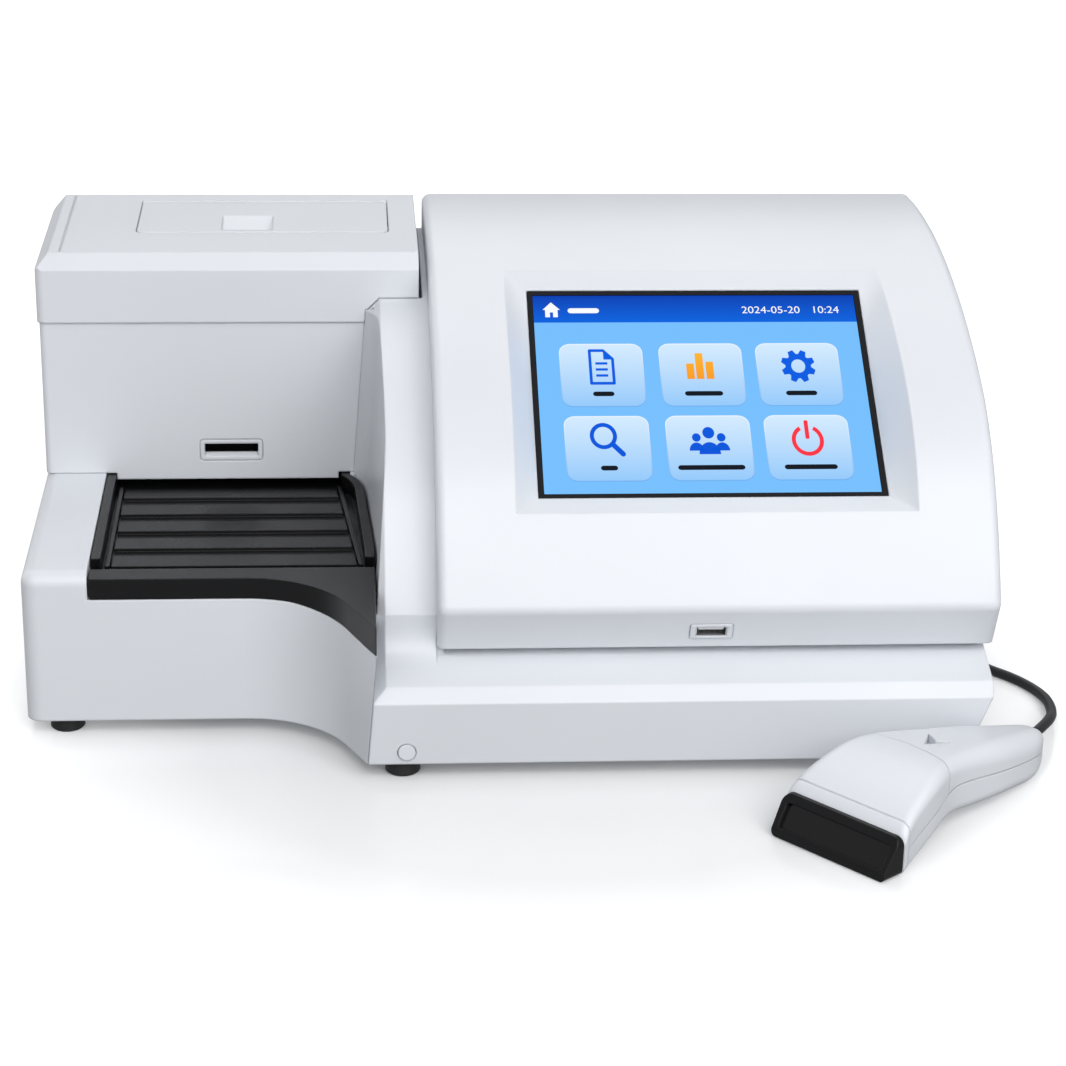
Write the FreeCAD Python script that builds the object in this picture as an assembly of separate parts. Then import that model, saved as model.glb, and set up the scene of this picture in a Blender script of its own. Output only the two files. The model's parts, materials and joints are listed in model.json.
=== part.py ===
import FreeCAD, Part
import math
import os
from FreeCAD import Vector

# Bench-top urine strip analyzer with its hand scanner, in millimetres, +Z up, front towards -Y.
# Everything is drawn about the analyzer's own centre line; the finished set is then moved so
# that the origin is the middle of the footprint of analyzer and scanner, on the table top.

# ---- overall ------------------------------------------------------------------------------
panelLeft = -31.0            # left flank of the curved front cover
panelRight = 207.3           # right flank of the curved front cover
rearY = 133.9                # rear faces of cover and tower
footHeight = 6.8             # rubber feet lift the housings off the table
plate = 2.0                  # bottom plates
wall = 3.0                   # moulded walls
seam = 0.15                  # gap between mouldings that are screwed together
slip = 0.3                   # gap round pieces that slide or swing
far = 300.0                  # beyond every piece, for cutting solids

# ---- curved front cover -------------------------------------------------------------------
lipY = -120.3                # foremost point of the curved face
chinHeight = 23.5            # from the chin's lower edge up to the lip
crownAngles = (64.9, 50.8, 24.4, -5.1)   # slope of the face where its arcs meet
crownRadii = (206.0, 125.0, 351.0)       # arcs of the face from the lip to the rear
lipRound = 5.0
chinBottomY = -112.0         # undercut chin below the lip
chinClear = 15.2             # from the front bevel up to the chin's lower edge
chinReturn = 5.7             # bottom return of the chin
skirt = 17.0                 # depth of the cover's side walls
edgeRound = 4.0              # rounding along both flanks
rearWallRise = 75.5          # lower edge of the cover's rear wall above the lip

# ---- screen -------------------------------------------------------------------------------
screenIn = 118.45            # centre of the display from the cover's left flank
screenY = -37.85
screenRise = 65.25           # centre of the display above the lip
screenTilt = 31.6            # slope of the display
windowWidth = 150.1
windowHeight = 116.3
frameOuterLeft = 1.9         # outer edge of the sloping frame round the display
frameOuterRight = 173.4
frameOuterTopY = 25.3
frameOuterBottomY = -101.0
ringWidth = 2.6              # black ring round the glass
glassThick = 1.1
glassCorner = 0.6
moduleDepth = 8.0

# ---- main base ----------------------------------------------------------------------------
baseIn = 3.3                 # right side of the base inside the cover's flank
taperRun = 10.6              # right flank leans in this much towards the table
taperTop = 37.8
baseFrontBottomY = -131.4
frontHeight = 29.0           # front face from its lower edge to the bevel
baseFrontY = -134.0
bevel = 5.5                  # bevel along front and left edges
ledgeSlope = 16.0            # ledge below the chin rises to the rear
ledgeRound = 14.0            # concave sweep from ledge into the cheek
underCover = 7.0             # the base drops this much deeper below the cover
skirtLap = 5.0               # right-hand wall of the base stands this far up behind the cover's skirt
cheekWidth = 29.3            # left flank at the bottom from the cover's left flank
flankDraft = 0.0723          # flank leans right with height
flankFlare = 9.8             # flank swings left at the tower
flareRound = 55.0
trayFlareRound = 34.0
towerFrontY = 33.0
baseRearY = 130.6
shelfIn = 2.5                # left side of the base beside the tower, from the cover's flank

# ---- left base with the tray channel ------------------------------------------------------
leftX = -207.3
leftFrontY = -85.9
frontWallHeight = 56.8       # front wall below the tray lip
ledgeRise = 12.0             # top of the left ledge and of the tray rails above it
scoopStartX = -112.5         # where the front wall starts to sweep forward
scoopRadius = 48.0
scoopTurn = 65.0             # degrees turned before it runs straight on
scoopDropX = -92.0           # where the wall top starts to fall
scoopDrop = 3.2              # fall of the wall top towards the main base
nookWide = 15.0              # reach of the left base beside the shelf
nookDeep = 8.0               # its front stays this far behind the tower's front
ledgeWidth = 28.3            # ledge left of the tray channel
channelRear = 96.0
softRound = 7.0

# ---- tower --------------------------------------------------------------------------------
towerInset = 0.7             # tower's left side inside the base's
towerGap = 2.5               # between tower and main base
towerDrop = 3.0              # front wall over the tray reaches this far below the ledge's top
lidHeight = 31.7             # from the seam to the top
lidOver = 1.0                # lid stands proud of the body
lidBevelRise = 6.8           # height of the bevel along front and left edges
slotIn = 72.1                # slot's right end from the tower's right side
slotWidth = 26.3
slotRise = 10.2              # slot above the wall's lower edge
slotHeight = 7.9
slotFlange = 1.3
slotRecess = 1.0
slotWall = 0.85
slotLip = 2.1                # rear end of the slot's sloping lower lip, above the slot's edge
slotDepth = 3.4              # depth of the pale frame in the slot
linerDepth = 14.0            # depth of the black throat behind it
lidBevelRun = 6.0
grooveIn = 10.6

# ---- printer in the tower lid -------------------------------------------------------------
coverIn = 12.3               # cover's right side from the tower's
coverWidth = 115.7
coverFront = 70.0
coverRear = 123.0
coverThick = 3.0
coverCorner = 3.0            # rounding of the cover's front corners
cupIn = 38.8                 # finger cup from the cover's left side
cupWidth = 23.4
cupDepth = 24.0
paperWidth = 57.0
paperRadius = 18.5           # full paper roll
rollHeadroom = 8.8           # from the roll to the underside of the cover
spindleRadius = 6.0
shaftGap = 0.08              # radial running clearance of shafts
coverGap = 0.4               # gap round the printer cover
exitGap = 1.2                # paper exit in front of the cover
platenShaft = 1.5
bayIn = 18.0                 # paper bay from the cover's left side
bayWidth = 80.0
bayClear = 3.0               # space under the roll
bayWall = 2.0
platenRadius = 5.0
platenLength = 58.0
platenDrop = 11.7            # platen axis below the top of the lid
pinRadius = 1.2
pinReach = 3.0
pinDrop = 2.5                # hinge axis below the top of the lid and in from the cover's rear
rollBack = 22.0              # paper roll's axis in from the cover's rear
platenBack = 8.0             # platen axis behind the cover's front

# ---- reader above the rear of the tray ----------------------------------------------------
readClear = 5.9              # from the ledge's top to the window of the reading head
readThick = 1.5
headDepth = 19.0             # from the window's seat up to the rods
guideY = (52.0, 92.0)
guideRadius = 3.0
carriageWidth = 34.0
screwLead = 10.0             # travel of the head for one turn of the screw
screwTurns = 6
screwRadius = 3.0
screwRise = 15.0             # screw axis above the guide rods
nutHalf = 5.5                # half height of the nut on the head
readerGap = 4.0              # between the nut and the paper bay
bracketIn = 9.6              # left end plate from the tower's left side
motorRoom = 20.0             # right end plate from the tower's right side
endRoom = 10.0               # between the head and the right end plate at the end of its travel
bracketThick = 3.0

# ---- front plug ---------------------------------------------------------------------------
plugIn = 16.2                # from the base's left flank
plugRise = 5.8
plugRadius = 3.7
plugGap = 0.3

# ---- connector in the chin ----------------------------------------------------------------
usbShift = -2.85             # from the middle of the display
usbWidth = 18.4
usbHeight = 8.8
usbRecess = 1.6              # depth of the bezel's seat
usbClear = 0.15
portWidth = 13.1
portHeight = 5.6
tongueThick = 1.9
tongueRise = 0.9             # tongue above the middle of the mouth

# ---- tray ---------------------------------------------------------------------------------
trayGap = 0.6
lipDrop = 2.3                # tray lip below the ledge's top
trayFloorRise = 4.0          # tray floor above the front wall
trayRear = 62.0
barDepth = 11.3
barRise = 1.6
barPitch = 20.05
barFirst = 23.5              # middle of the rearmost bar
barCount = 5
barFlare = 9.0               # right ends run out this much from the rearmost bar to the front
barInset = 2.5               # rearmost bar's end to the rail
railWidth = 4.0
railFront = -68.0
railBend = 1.4               # clearance where the right-hand rail bends with the flank
railTurnY = -58.0            # where the right-hand rail starts to bend
lipDepth = 11.0              # depth of the tray's front lip

# ---- places that follow from the sizes above ----------------------------------------------
bevelLowZ = footHeight + frontHeight
chinBottomZ = bevelLowZ + chinClear
lipZ = chinBottomZ + chinHeight
coverRearZ = lipZ + rearWallRise
screenX = panelLeft + screenIn
screenZ = lipZ + screenRise
usbX = screenX + usbShift
baseRight = panelRight - baseIn
flankX = panelLeft - cheekWidth
shelfX = panelLeft - shelfIn
plugX = flankX + plugIn
plugZ = footHeight + plugRise
frontWallTop = footHeight + frontWallHeight
ledgeTop = frontWallTop + ledgeRise
lipTop = ledgeTop - lipDrop
trayFloorTop = frontWallTop + trayFloorRise
channelLeft = leftX + ledgeWidth
towerLeft = leftX + towerInset
towerRight = shelfX - towerGap
towerFloor = ledgeTop + seam
towerBottom = ledgeTop - towerDrop
nookRear = towerFrontY + nookDeep + wall + 1
slotRight = towerRight - slotIn
slotLeft = slotRight - slotWidth
slotBottom = towerBottom + slotRise
slotTop = slotBottom + slotHeight
coverRight = towerRight - coverIn
coverLeft = coverRight - coverWidth
cupLeft = coverLeft + cupIn
cupRight = cupLeft + cupWidth
bayLeft = coverLeft + bayIn
bayRight = bayLeft + bayWidth
# reader over the tray, paper bay over the reader, lid over both
carriageTravel = screwTurns * screwLead
bracketLeft = towerLeft + bracketIn
bracketRight = towerRight - motorRoom
carriageX = bracketRight - endRoom - carriageTravel - carriageWidth
railZ = ledgeTop + readClear + readThick + headDepth
beltZ = railZ + screwRise
beltY = (guideY[0] + guideY[1]) / 2
bayFloor = beltZ + nutHalf + readerGap + bayWall
paperZ = bayFloor + bayClear + paperRadius
lidTop = paperZ + paperRadius + rollHeadroom + coverThick
lidSeam = lidTop - lidHeight
lidBevelZ = lidTop - lidBevelRise
hingeY = coverRear - pinDrop
hingeZ = lidTop - pinDrop
platenY = coverFront + platenBack
platenZ = lidTop - platenDrop
paperX = (bayLeft + bayRight) / 2
paperY = coverRear - rollBack

# ---- underside ----------------------------------------------------------------------------
footRadius = 7.5
footIn = 16.8                # feet in from the left and rear sides
footSpots = ((leftX + footIn, leftFrontY + 9.9), (flankX + 14.7, baseFrontBottomY + 8.9),
             (baseRight - 20.0, baseFrontBottomY + 11.4), (baseRight - 20.0, rearY - footIn - 0.1),
             (shelfX + 13.5, rearY - footIn - 0.1), (leftX + footIn, rearY - footIn - 0.1))

# ---- electronics and rear connectors ------------------------------------------------------
rearWallFront = baseRearY - wall
portZ = footHeight + 17.2
scanPortX = 150.0
inletX = 108.0
switchX = 72.0
serialX = 28.0
boardZ = footHeight + 8.2
boardTop = boardZ + 1.6
boardSides = (5.0, 175.0, -50.0, 125.0)
boardBlocks = ((60.0, 0.0, 30.0, 30.0, 3.0), (110.0, 40.0, 22.0, 16.0, 8.0), (140.0, -20.0, 26.0, 40.0, 5.0),
               (40.0, 60.0, 20.0, 20.0, 12.0))
inletBore = 3.1
plugHalf = 6.0
plugThick = 4.5

# ---- hand scanner -------------------------------------------------------------------------
noseX = 123.0
noseY = -206.6
headTurn = 43.0              # heading of the head, from +X towards +Y
noseLength = 10.0
noseFootS = -1.0             # foot of the nose's sloping front
noseFootZ = 3.6
noseSlope = 56.0
noseStep = 0.5               # nose narrower than the band behind it
noseTaper = 1.6
windowAcross = 52.0
windowLow = 1.7              # window up the sloping front
windowHigh = 12.4
windowDeep = 1.8
windowThick = 1.2
windowCorner = 1.5
stripLength = 3.6
splitCrest = (54.0, 20.6)    # highest point of the seam between upper and lower shells
splitFront = (16.0, 11.3)
splitRear = (117.0, 12.0)
headArc = 53.5               # radius of the seam between head and handle
reliefFrom = (121.5, -8.8, 11.5)
reliefHeading = 52.0         # heading of the lead where it leaves the handle
reliefLength = 15.0
reliefRadius = 4.2
# station along the head, right and left edge, top, corner rounding, bottom
scannerSections = ((10.0, -30.0, 30.0, 17.0, 4.0, 0.3), (16.0, -28.8, 28.8, 23.4, 4.5, 1.2),
                   (26.0, -27.2, 27.2, 28.2, 5.0, 3.6), (40.0, -24.8, 24.8, 32.0, 5.5, 6.8),
                   (52.0, -22.0, 22.0, 32.2, 6.0, 7.4), (68.0, -21.4, 15.6, 30.8, 7.0, 5.0),
                   (86.0, -22.6, 9.0, 28.6, 8.0, 3.2), (104.0, -22.2, 2.2, 25.2, 8.0, 1.4),
                   (117.0, -20.6, -2.4, 22.4, 7.0, 0.6), (123.5, -18.4, -5.6, 20.4, 5.0, 2.6),
                   (127.5, -16.0, -8.6, 17.4, 3.0, 6.4))
triggerFrom = 46.0
triggerTo = 62.0
triggerT = -1.0
triggerHalf = 8.0
triggerTravel = 2.0
triggerLow = 5.0
triggerTop = 12.0

# ---- scanner lead: plug behind the base, coil on the table, run along the right-hand side -
cordRadius = 2.3
coilX = 97.0
coilY = 184.0
coilMiddle = 23.0            # radius at the middle of the turns
coilAcross = 4               # turns side by side
coilLayers = 2
coilStub = 18.0              # straight ends of the coil
plugLength = 24.0

os.makedirs("parts", exist_ok=True)


def onX(x):
    return lambda u, v: Vector(x, u, v)


def onY(y):
    return lambda u, v: Vector(u, y, v)


def onZ(z):
    return lambda u, v: Vector(u, v, z)


def meet(p, dp, q, dq):
    """Point where the line through p along dp crosses the line through q along dq."""
    cross = dp[0] * dq[1] - dp[1] * dq[0]
    t = ((q[0] - p[0]) * dq[1] - (q[1] - p[1]) * dq[0]) / cross
    return (p[0] + dp[0] * t, p[1] + dp[1] * t)


def outline(corners, place):
    """Closed wire through corners (u, v, radius), each rounded by its own tangent arc."""
    n = len(corners)
    cut = []
    for i in range(n):
        u, v, r = corners[i]
        pu, pv = corners[i - 1][0] - u, corners[i - 1][1] - v
        nu, nv = corners[(i + 1) % n][0] - u, corners[(i + 1) % n][1] - v
        pl, nl = math.hypot(pu, pv), math.hypot(nu, nv)
        pu, pv, nu, nv = pu / pl, pv / pl, nu / nl, nv / nl
        inner = math.acos(max(-1.0, min(1.0, pu * nu + pv * nv)))
        if r <= 0 or inner > math.pi - 1e-6:
            cut.append(((u, v), None, (u, v)))
            continue
        t = r / math.tan(inner / 2)
        bu, bv = pu + nu, pv + nv
        bl = math.hypot(bu, bv)
        reach = r / math.sin(inner / 2) - r
        middle = (u + bu / bl * reach, v + bv / bl * reach)
        cut.append(((u + pu * t, v + pv * t), middle, (u + nu * t, v + nv * t)))
    edges = []
    for i in range(n):
        start, middle, end = cut[i]
        if middle:
            edges.append(Part.Arc(place(*start), place(*middle), place(*end)).toShape())
        following = cut[(i + 1) % n][0]
        if math.hypot(following[0] - end[0], following[1] - end[1]) > 1e-5:
            edges.append(Part.LineSegment(place(*end), place(*following)).toShape())
    return Part.Wire(edges)


def prismX(corners, x0, x1):
    return Part.Face(outline(corners, onX(x0))).extrude(Vector(x1 - x0, 0, 0))


def prismY(corners, y0, y1):
    return Part.Face(outline(corners, onY(y0))).extrude(Vector(0, y1 - y0, 0))


def prismZ(corners, z0, z1):
    return Part.Face(outline(corners, onZ(z0))).extrude(Vector(0, 0, z1 - z0))


def block(x0, x1, y0, y1, z0, z1):
    return Part.makeBox(x1 - x0, y1 - y0, z1 - z0, Vector(x0, y0, z0))


def rod(radius, length, x, y, z, dx=0, dy=0, dz=1):
    return Part.makeCylinder(radius, length, Vector(x, y, z), Vector(dx, dy, dz))


def rounded(x0, x1, y0, y1, r):
    """Corners of a rectangle seen along an axis."""
    return [(x0, y0, r), (x1, y0, r), (x1, y1, r), (x0, y1, r)]


def roundEdges(shape, radius, wanted):
    return shape.makeFillet(radius, [e for e in shape.Edges if wanted(e)])


def inPlane(edge, axis, value, tol=1e-3):
    box = edge.BoundBox
    low = (box.XMin, box.YMin, box.ZMin)[axis]
    high = (box.XMax, box.YMax, box.ZMax)[axis]
    return abs(low - value) < tol and abs(high - value) < tol


def slope(degrees):
    return (math.cos(math.radians(degrees)), math.sin(math.radians(degrees)))


def crown(inset):
    """Corners of the cover's curved side profile from lip to rear, moved inwards by inset."""
    a0 = crownAngles[0]
    y = lipY + inset * slope(a0)[1]
    z = lipZ - inset * slope(a0)[0]
    corners = []
    for i, radius in enumerate(crownRadii):
        turn = math.radians(crownAngles[i] - crownAngles[i + 1])
        t = (radius - inset) * math.tan(turn / 2)
        c0, s0 = slope(crownAngles[i])
        c1, s1 = slope(crownAngles[i + 1])
        corners.append((y + c0 * t, z + s0 * t, radius - inset))
        y += (c0 + c1) * t
        z += (s0 + s1) * t
    return corners, (y, z)


def crownRear(inset, yRear):
    """Height of the moved profile's last tangent at the given depth."""
    end = crown(inset)[1]
    c, s = slope(crownAngles[-1])
    return end[1] + (yRear - end[0]) * s / c


def tangentHeight(inset, y):
    """Height of the foremost tangent, moved inwards, at depth y."""
    c, s = slope(crownAngles[0])
    return lipZ - inset * c + (y - lipY - inset * s) * s / c


def lipCorner(inset):
    """Corner between the face's foremost tangent and the chin, moved inwards."""
    c0, s0 = slope(crownAngles[0])
    start = (lipY + inset * s0, lipZ - inset * c0)
    rise = lipZ - 3.0 - chinBottomZ
    run = lipY - 1.0 - chinBottomY
    length = math.hypot(run, rise)
    chin = (run / length, rise / length)
    foot = (chinBottomY + inset * chin[1], chinBottomZ - inset * chin[0])
    y, z = meet(start, (c0, s0), foot, chin)
    return (y, z), foot, chin


def faceHeight(y):
    """Height of the curved face above the table at depth y."""
    p = (lipY, lipZ)
    for i, radius in enumerate(crownRadii):
        c0, s0 = slope(crownAngles[i])
        c1, s1 = slope(crownAngles[i + 1])
        centre = (p[0] + radius * s0, p[1] - radius * c0)
        p = (centre[0] - radius * s1, centre[1] + radius * c1)
        if y <= p[0] or i == len(crownRadii) - 1:
            return centre[1] + math.sqrt(radius ** 2 - (y - centre[0]) ** 2)


def onScreen(u, v, n):
    """Point u right, v up the slope and n out from the centre of the display."""
    c, s = slope(screenTilt)
    return Vector(screenX + u, screenY + v * c - n * s, screenZ + v * s + n * c)


def screenBox(width, height, n0, n1, r=0.0):
    corners = rounded(-width / 2, width / 2, -height / 2, height / 2, r)
    face = Part.Face(outline(corners, lambda u, v: onScreen(u, v, n0)))
    return face.extrude(onScreen(0, 0, n1) - onScreen(0, 0, n0))


def sloping_frame_cutter():
    """Tool for the mitred frame: four faces from the display's edge to the curved face."""
    half = windowWidth / 2
    lift = 0.4
    inner = [onScreen(-half, windowHeight / 2, 0), onScreen(half, windowHeight / 2, 0),
             onScreen(half, -windowHeight / 2, 0), onScreen(-half, -windowHeight / 2, 0)]

    def side(x):
        steps = 8
        run = frameOuterBottomY - frameOuterTopY
        ys = [frameOuterTopY + run * i / steps for i in range(steps + 1)]
        curve = Part.BSplineCurve()
        curve.interpolate([Vector(x, y, faceHeight(y) + lift) for y in ys])
        return curve.toShape()

    left, right = side(frameOuterLeft), side(frameOuterRight)
    up = Vector(0, 0, 40)

    def ends(edge):
        return edge.Vertexes[0].Point, edge.Vertexes[-1].Point

    lt, lb = ends(left)
    rt, rb = ends(right)

    def flat(*points):
        return Part.Face(Part.makePolygon(list(points) + [points[0]]))

    def line(a, b):
        return Part.LineSegment(a, b).toShape()

    faces = [flat(*inner),
             flat(inner[0], inner[1], rt, lt),
             flat(inner[3], inner[2], rb, lb),
             Part.makeRuledSurface(line(inner[0], inner[3]), left),
             Part.makeRuledSurface(line(inner[1], inner[2]), right),
             left.extrude(up), right.extrude(up),
             flat(lt, rt, rt + up, lt + up), flat(lb, rb, rb + up, lb + up),
             Part.makeRuledSurface(left.translated(up), right.translated(up))]
    shell = Part.Shell(Part.makeShell(faces).Faces)
    shell.sewShape()
    solid = Part.Solid(shell)
    if solid.Volume < 0:
        solid.reverse()
    return solid


def front_panel():
    """Curved cover with side skirts, undercut chin, display window and connector opening."""
    lip, foot, chin = lipCorner(0)
    corners, _ = crown(0)
    low, _ = crown(skirt)
    outer = [(rearY, coverRearZ, 0), (rearY, crownRear(0, rearY), 5.0)]
    outer += list(reversed(corners))
    outer += [(lip[0], lip[1], lipRound), (chinBottomY, chinBottomZ, 0),
              (chinBottomY + chinReturn, chinBottomZ, 0)]
    back = chinBottomY + chinReturn
    outer += [(back, tangentHeight(skirt, back), 0)]
    outer += low
    outer += [(rearY - wall, crownRear(skirt, rearY - wall), 0), (rearY - wall, coverRearZ, 0)]
    body = prismX(outer, panelLeft, panelRight)

    def flankEdge(e):
        if not (inPlane(e, 0, panelLeft) or inPlane(e, 0, panelRight)):
            return False
        middle = e.valueAt((e.FirstParameter + e.LastParameter) / 2)
        onCrown = middle.z > faceHeight(min(middle.y, rearY - 6)) - 2.5 and middle.y > lipY
        onChin = middle.y < chinBottomY - 0.1
        return onCrown or onChin or middle.y > rearY - 0.01

    body = roundEdges(body, edgeRound, flankEdge)
    inLip, inFoot, inChin = lipCorner(wall)
    inner, _ = crown(wall)
    floor = chinBottomZ + wall
    chinIn = meet(inFoot, inChin, (0, floor), (1, 0))
    hollow = [(rearY - wall, floor, 0), (rearY - wall, crownRear(wall, rearY - wall), 2.0)]
    hollow += list(reversed(inner))
    hollow += [(inLip[0], inLip[1], lipRound - wall), (chinIn[0], floor, 0)]
    cavity = prismX(hollow, panelLeft + wall, panelRight - wall)
    tub = screenBox(windowWidth + 24, windowHeight + 24, -wall, 40).common(cavity)
    body = body.cut(cavity).fuse(tub)
    body = body.cut(sloping_frame_cutter())
    body = body.cut(screenBox(windowWidth, windowHeight, -wall - 1, 1))
    body = body.cut(chinBox(usbWidth, usbHeight, -usbRecess - usbClear, 2, 1.0))
    body = body.cut(chinBox(portWidth + 2 * usbClear, portHeight + 2 * usbClear, -20, 1))
    return body.removeSplitter()


def base_section(deeper, inset, ledgeBlend):
    """Side profile of the main base; deeper and inset move its upper boundary inwards."""
    toe = bevel - inset
    nose = (baseFrontY + toe, bevelLowZ + toe)
    back = chinBottomY + chinReturn + seam + deeper + inset
    depth = skirt + seam + deeper + inset
    foot = meet(nose, slope(ledgeSlope), (back, 0), (0, 1))
    corners = [(baseRearY, footHeight, 0), (baseFrontBottomY, footHeight, 0),
               (baseFrontY, bevelLowZ, 0), (nose[0], nose[1], 0),
               (foot[0], foot[1], ledgeBlend), (back, tangentHeight(depth, back), 0)]
    return corners + crown(depth)[0] + [(baseRearY, crownRear(depth, baseRearY), 0)]


def flank_solid(grow):
    """Everything right of the drafted left flank; grow moves the flank inwards."""
    def ring(z):
        x = flankX + flankDraft * (z - footHeight) + grow
        rear = towerFrontY - seam - grow
        corners = [(x, -150, 0), (x, -60, 120), (x - 0.43 * flankFlare, towerFrontY - 11.5, flareRound),
                   (x - flankFlare, rear, 0), (shelfX + grow, rear, 0), (shelfX + grow, 150, 0),
                   (panelRight + 5, 150, 0), (panelRight + 5, -150, 0)]
        return outline(corners, onZ(z))
    return Part.makeLoft([ring(-5), ring(205)], True, True)


def base_solid(grow):
    """Outer form of the main base; grow makes it larger all round the cheek."""
    cheekIn = panelLeft + wall + seam
    left = flankX - flankFlare - 15
    topX = flankX + flankDraft * (bevelLowZ - footHeight) + bevel - grow
    low = base_section(-grow, bevel - 0.2, ledgeRound)
    full = base_section(-grow, 0, ledgeRound)
    band = Part.makeLoft([outline(low, onX(topX - bevel)), outline(full, onX(topX))], True, True)
    solid = prismX(low, left, topX - bevel).fuse(band)
    solid = solid.fuse(prismX(full, topX, panelLeft - seam))
    solid = solid.fuse(prismX(base_section(-grow, 0, 4.0), panelLeft - seam, cheekIn))
    return solid.fuse(prismX(base_section(underCover, 0, 2.0), cheekIn, baseRight))


def rightFlank(inset):
    """Everything left of the right flank, which leans in towards the table; inset moves it left."""
    lean = taperRun / (taperTop - footHeight)
    low = -10.0
    foot = baseRight - inset - lean * (taperTop - low)
    return prismY([(-far, low, 0), (foot, low, 0), (baseRight - inset, taperTop, 0), (baseRight - inset, far, 0),
                   (-far, far, 0)], -far, far)


def main_base():
    """Right-hand housing with the cheek, ledge and bevelled front."""
    outer = base_solid(0).common(flank_solid(0)).common(rightFlank(0))
    hollow = []
    for deeper, x0, x1 in ((wall, -90.0, panelLeft - 1), (underCover + wall, panelLeft - 1, baseRight - wall)):
        corners = base_section(deeper, 0, 0)
        corners[0] = (baseRearY - wall, -10, 0)
        corners[1] = (baseFrontBottomY + wall, -10, 0)
        corners[2] = (baseFrontY + wall, bevelLowZ, 0)
        corners[3] = (baseFrontY + bevel + 1.5, bevelLowZ + 1.5, 0)
        foot = corners[4]
        corners[4] = (foot[0], foot[1] - wall, 0)
        corners[-1] = (baseRearY - wall, crownRear(skirt + seam + deeper, baseRearY - wall), 0)
        hollow.append(prismX(corners, x0, x1))
    inner = hollow[0].fuse(hollow[1]).common(flank_solid(wall)).common(rightFlank(wall))
    roof = block(panelLeft + 12, baseRight - 12, -78, 100, 60, 200)
    base = outer.cut(inner).cut(roof.common(outer))
    behindChin = chinBottomY + chinReturn + seam + 2 * slip
    upstand = prismX(base_section(-skirtLap, 0, 0), baseRight - wall, baseRight)
    base = base.fuse(upstand.common(block(0, far, behindChin, far, taperTop + 1, far)))
    base = base.cut(chinBox(portWidth + 2, portHeight + 2, -20, 1))
    base = base.cut(rod(plugRadius + plugGap, 14, plugX, baseFrontBottomY - 6, plugZ, 0, 1, 0))
    return base.cut(main_rear_cuts())


# ---- left base and strip tray ---------------------------------------------------------------
def scoopCorners(inset):
    """Front line of the left base: straight, then sweeping forward to the main base."""
    c, s = slope(-scoopTurn)
    reach = scoopRadius * math.tan(math.radians(scoopTurn / 2))
    corner = (scoopStartX + reach, leftFrontY)
    moved = meet((0, leftFrontY + inset), (1, 0), (corner[0] - inset * s, corner[1] + inset * c), (c, s))
    end = meet(moved, (c, s), (shelfX - nookWide, 0), (0, 1))
    return (moved[0], moved[1], scoopRadius + inset), (end[0], end[1], 0)


def trayRight(gap):
    """Flank of the main base at tray height, less the gap."""
    return flankX + flankDraft * (frontWallTop - footHeight) - gap


def left_base():
    """Left-hand housing: ledge, tray channel and front wall that sweeps to the main base."""
    bend, end = scoopCorners(0)
    corners = [(leftX, rearY, 4), (leftX, leftFrontY, softRound), bend, end,
               (shelfX - nookWide, towerFrontY + nookDeep, 0), (shelfX - 2 * seam, towerFrontY + nookDeep, 0),
               (shelfX - 2 * seam, rearY, 0)]
    body = prismZ(corners, footHeight, ledgeTop)

    def topFront(e):
        return inPlane(e, 1, leftFrontY) and inPlane(e, 2, ledgeTop)

    def around(e):
        low = inPlane(e, 2, ledgeTop) and e.BoundBox.XMax < leftX + softRound + 1
        return topFront(e) or low

    body = roundEdges(body, softRound - 1.0, around)
    bendIn, endIn = scoopCorners(wall)
    cavity = prismZ([(leftX + wall, rearY - wall, 0), (leftX + wall, leftFrontY + wall, softRound - wall),
                     bendIn, endIn, (shelfX - nookWide, nookRear, 0),
                     (shelfX - wall, nookRear, 0), (shelfX - wall, rearY - wall, 0)],
                    -5, frontWallTop - wall)
    sides = prismZ([(leftX + wall, rearY - wall, 0), (leftX + wall, leftFrontY + softRound + wall, 0),
                    (channelLeft - wall, leftFrontY + softRound + wall, 0),
                    (channelLeft - wall, rearY - wall, 0)],
                   frontWallTop - wall - 1, ledgeTop - wall)
    edge = trayRight(trayGap) - flankFlare
    channel = prismZ([(channelLeft, channelRear, 0), (channelLeft, -200, 0), (shelfX, -200, 0),
                      (shelfX, towerFrontY - 2, 0), (edge, towerFrontY - 2, 0), (edge, channelRear, 0)],
                     frontWallTop, ledgeTop + 5)
    rim = prismY([(channelLeft, frontWallTop, 0), (scoopDropX, frontWallTop, 60),
                  (flankX, frontWallTop - scoopDrop, 0), (flankX + 20, frontWallTop - scoopDrop, 0),
                  (flankX + 20, ledgeTop, 0), (channelLeft, ledgeTop, 0)], -200, 0)
    rim = rim.common(prismZ([(-far, leftFrontY - 1, 0), scoopCorners(-1)[0], scoopCorners(-1)[1],
                             scoopCorners(lipDepth)[1], scoopCorners(lipDepth)[0],
                             (-far, leftFrontY + lipDepth, 0)], 0, 100))
    body = body.cut(cavity).cut(sides).cut(channel).cut(rim)
    body = body.cut(flank_solid(-seam))
    return max(body.Solids, key=lambda s: s.Volume)


def trayOutline(rear):
    right = trayRight(trayGap)
    bend, end = scoopCorners(0)
    corner = meet((bend[0], bend[1]), (end[0] - bend[0], end[1] - bend[1]), (right, 0), (0, 1))
    return [(channelLeft + trayGap, rear, 0), (channelLeft + trayGap, leftFrontY, 1.5), bend,
            (corner[0], corner[1], 0), (right, -60, 120), (right - 0.43 * flankFlare, towerFrontY - 11.5, trayFlareRound),
            (right - flankFlare, towerFrontY - 3, 0), (right - flankFlare, rear, 0)]


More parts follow.
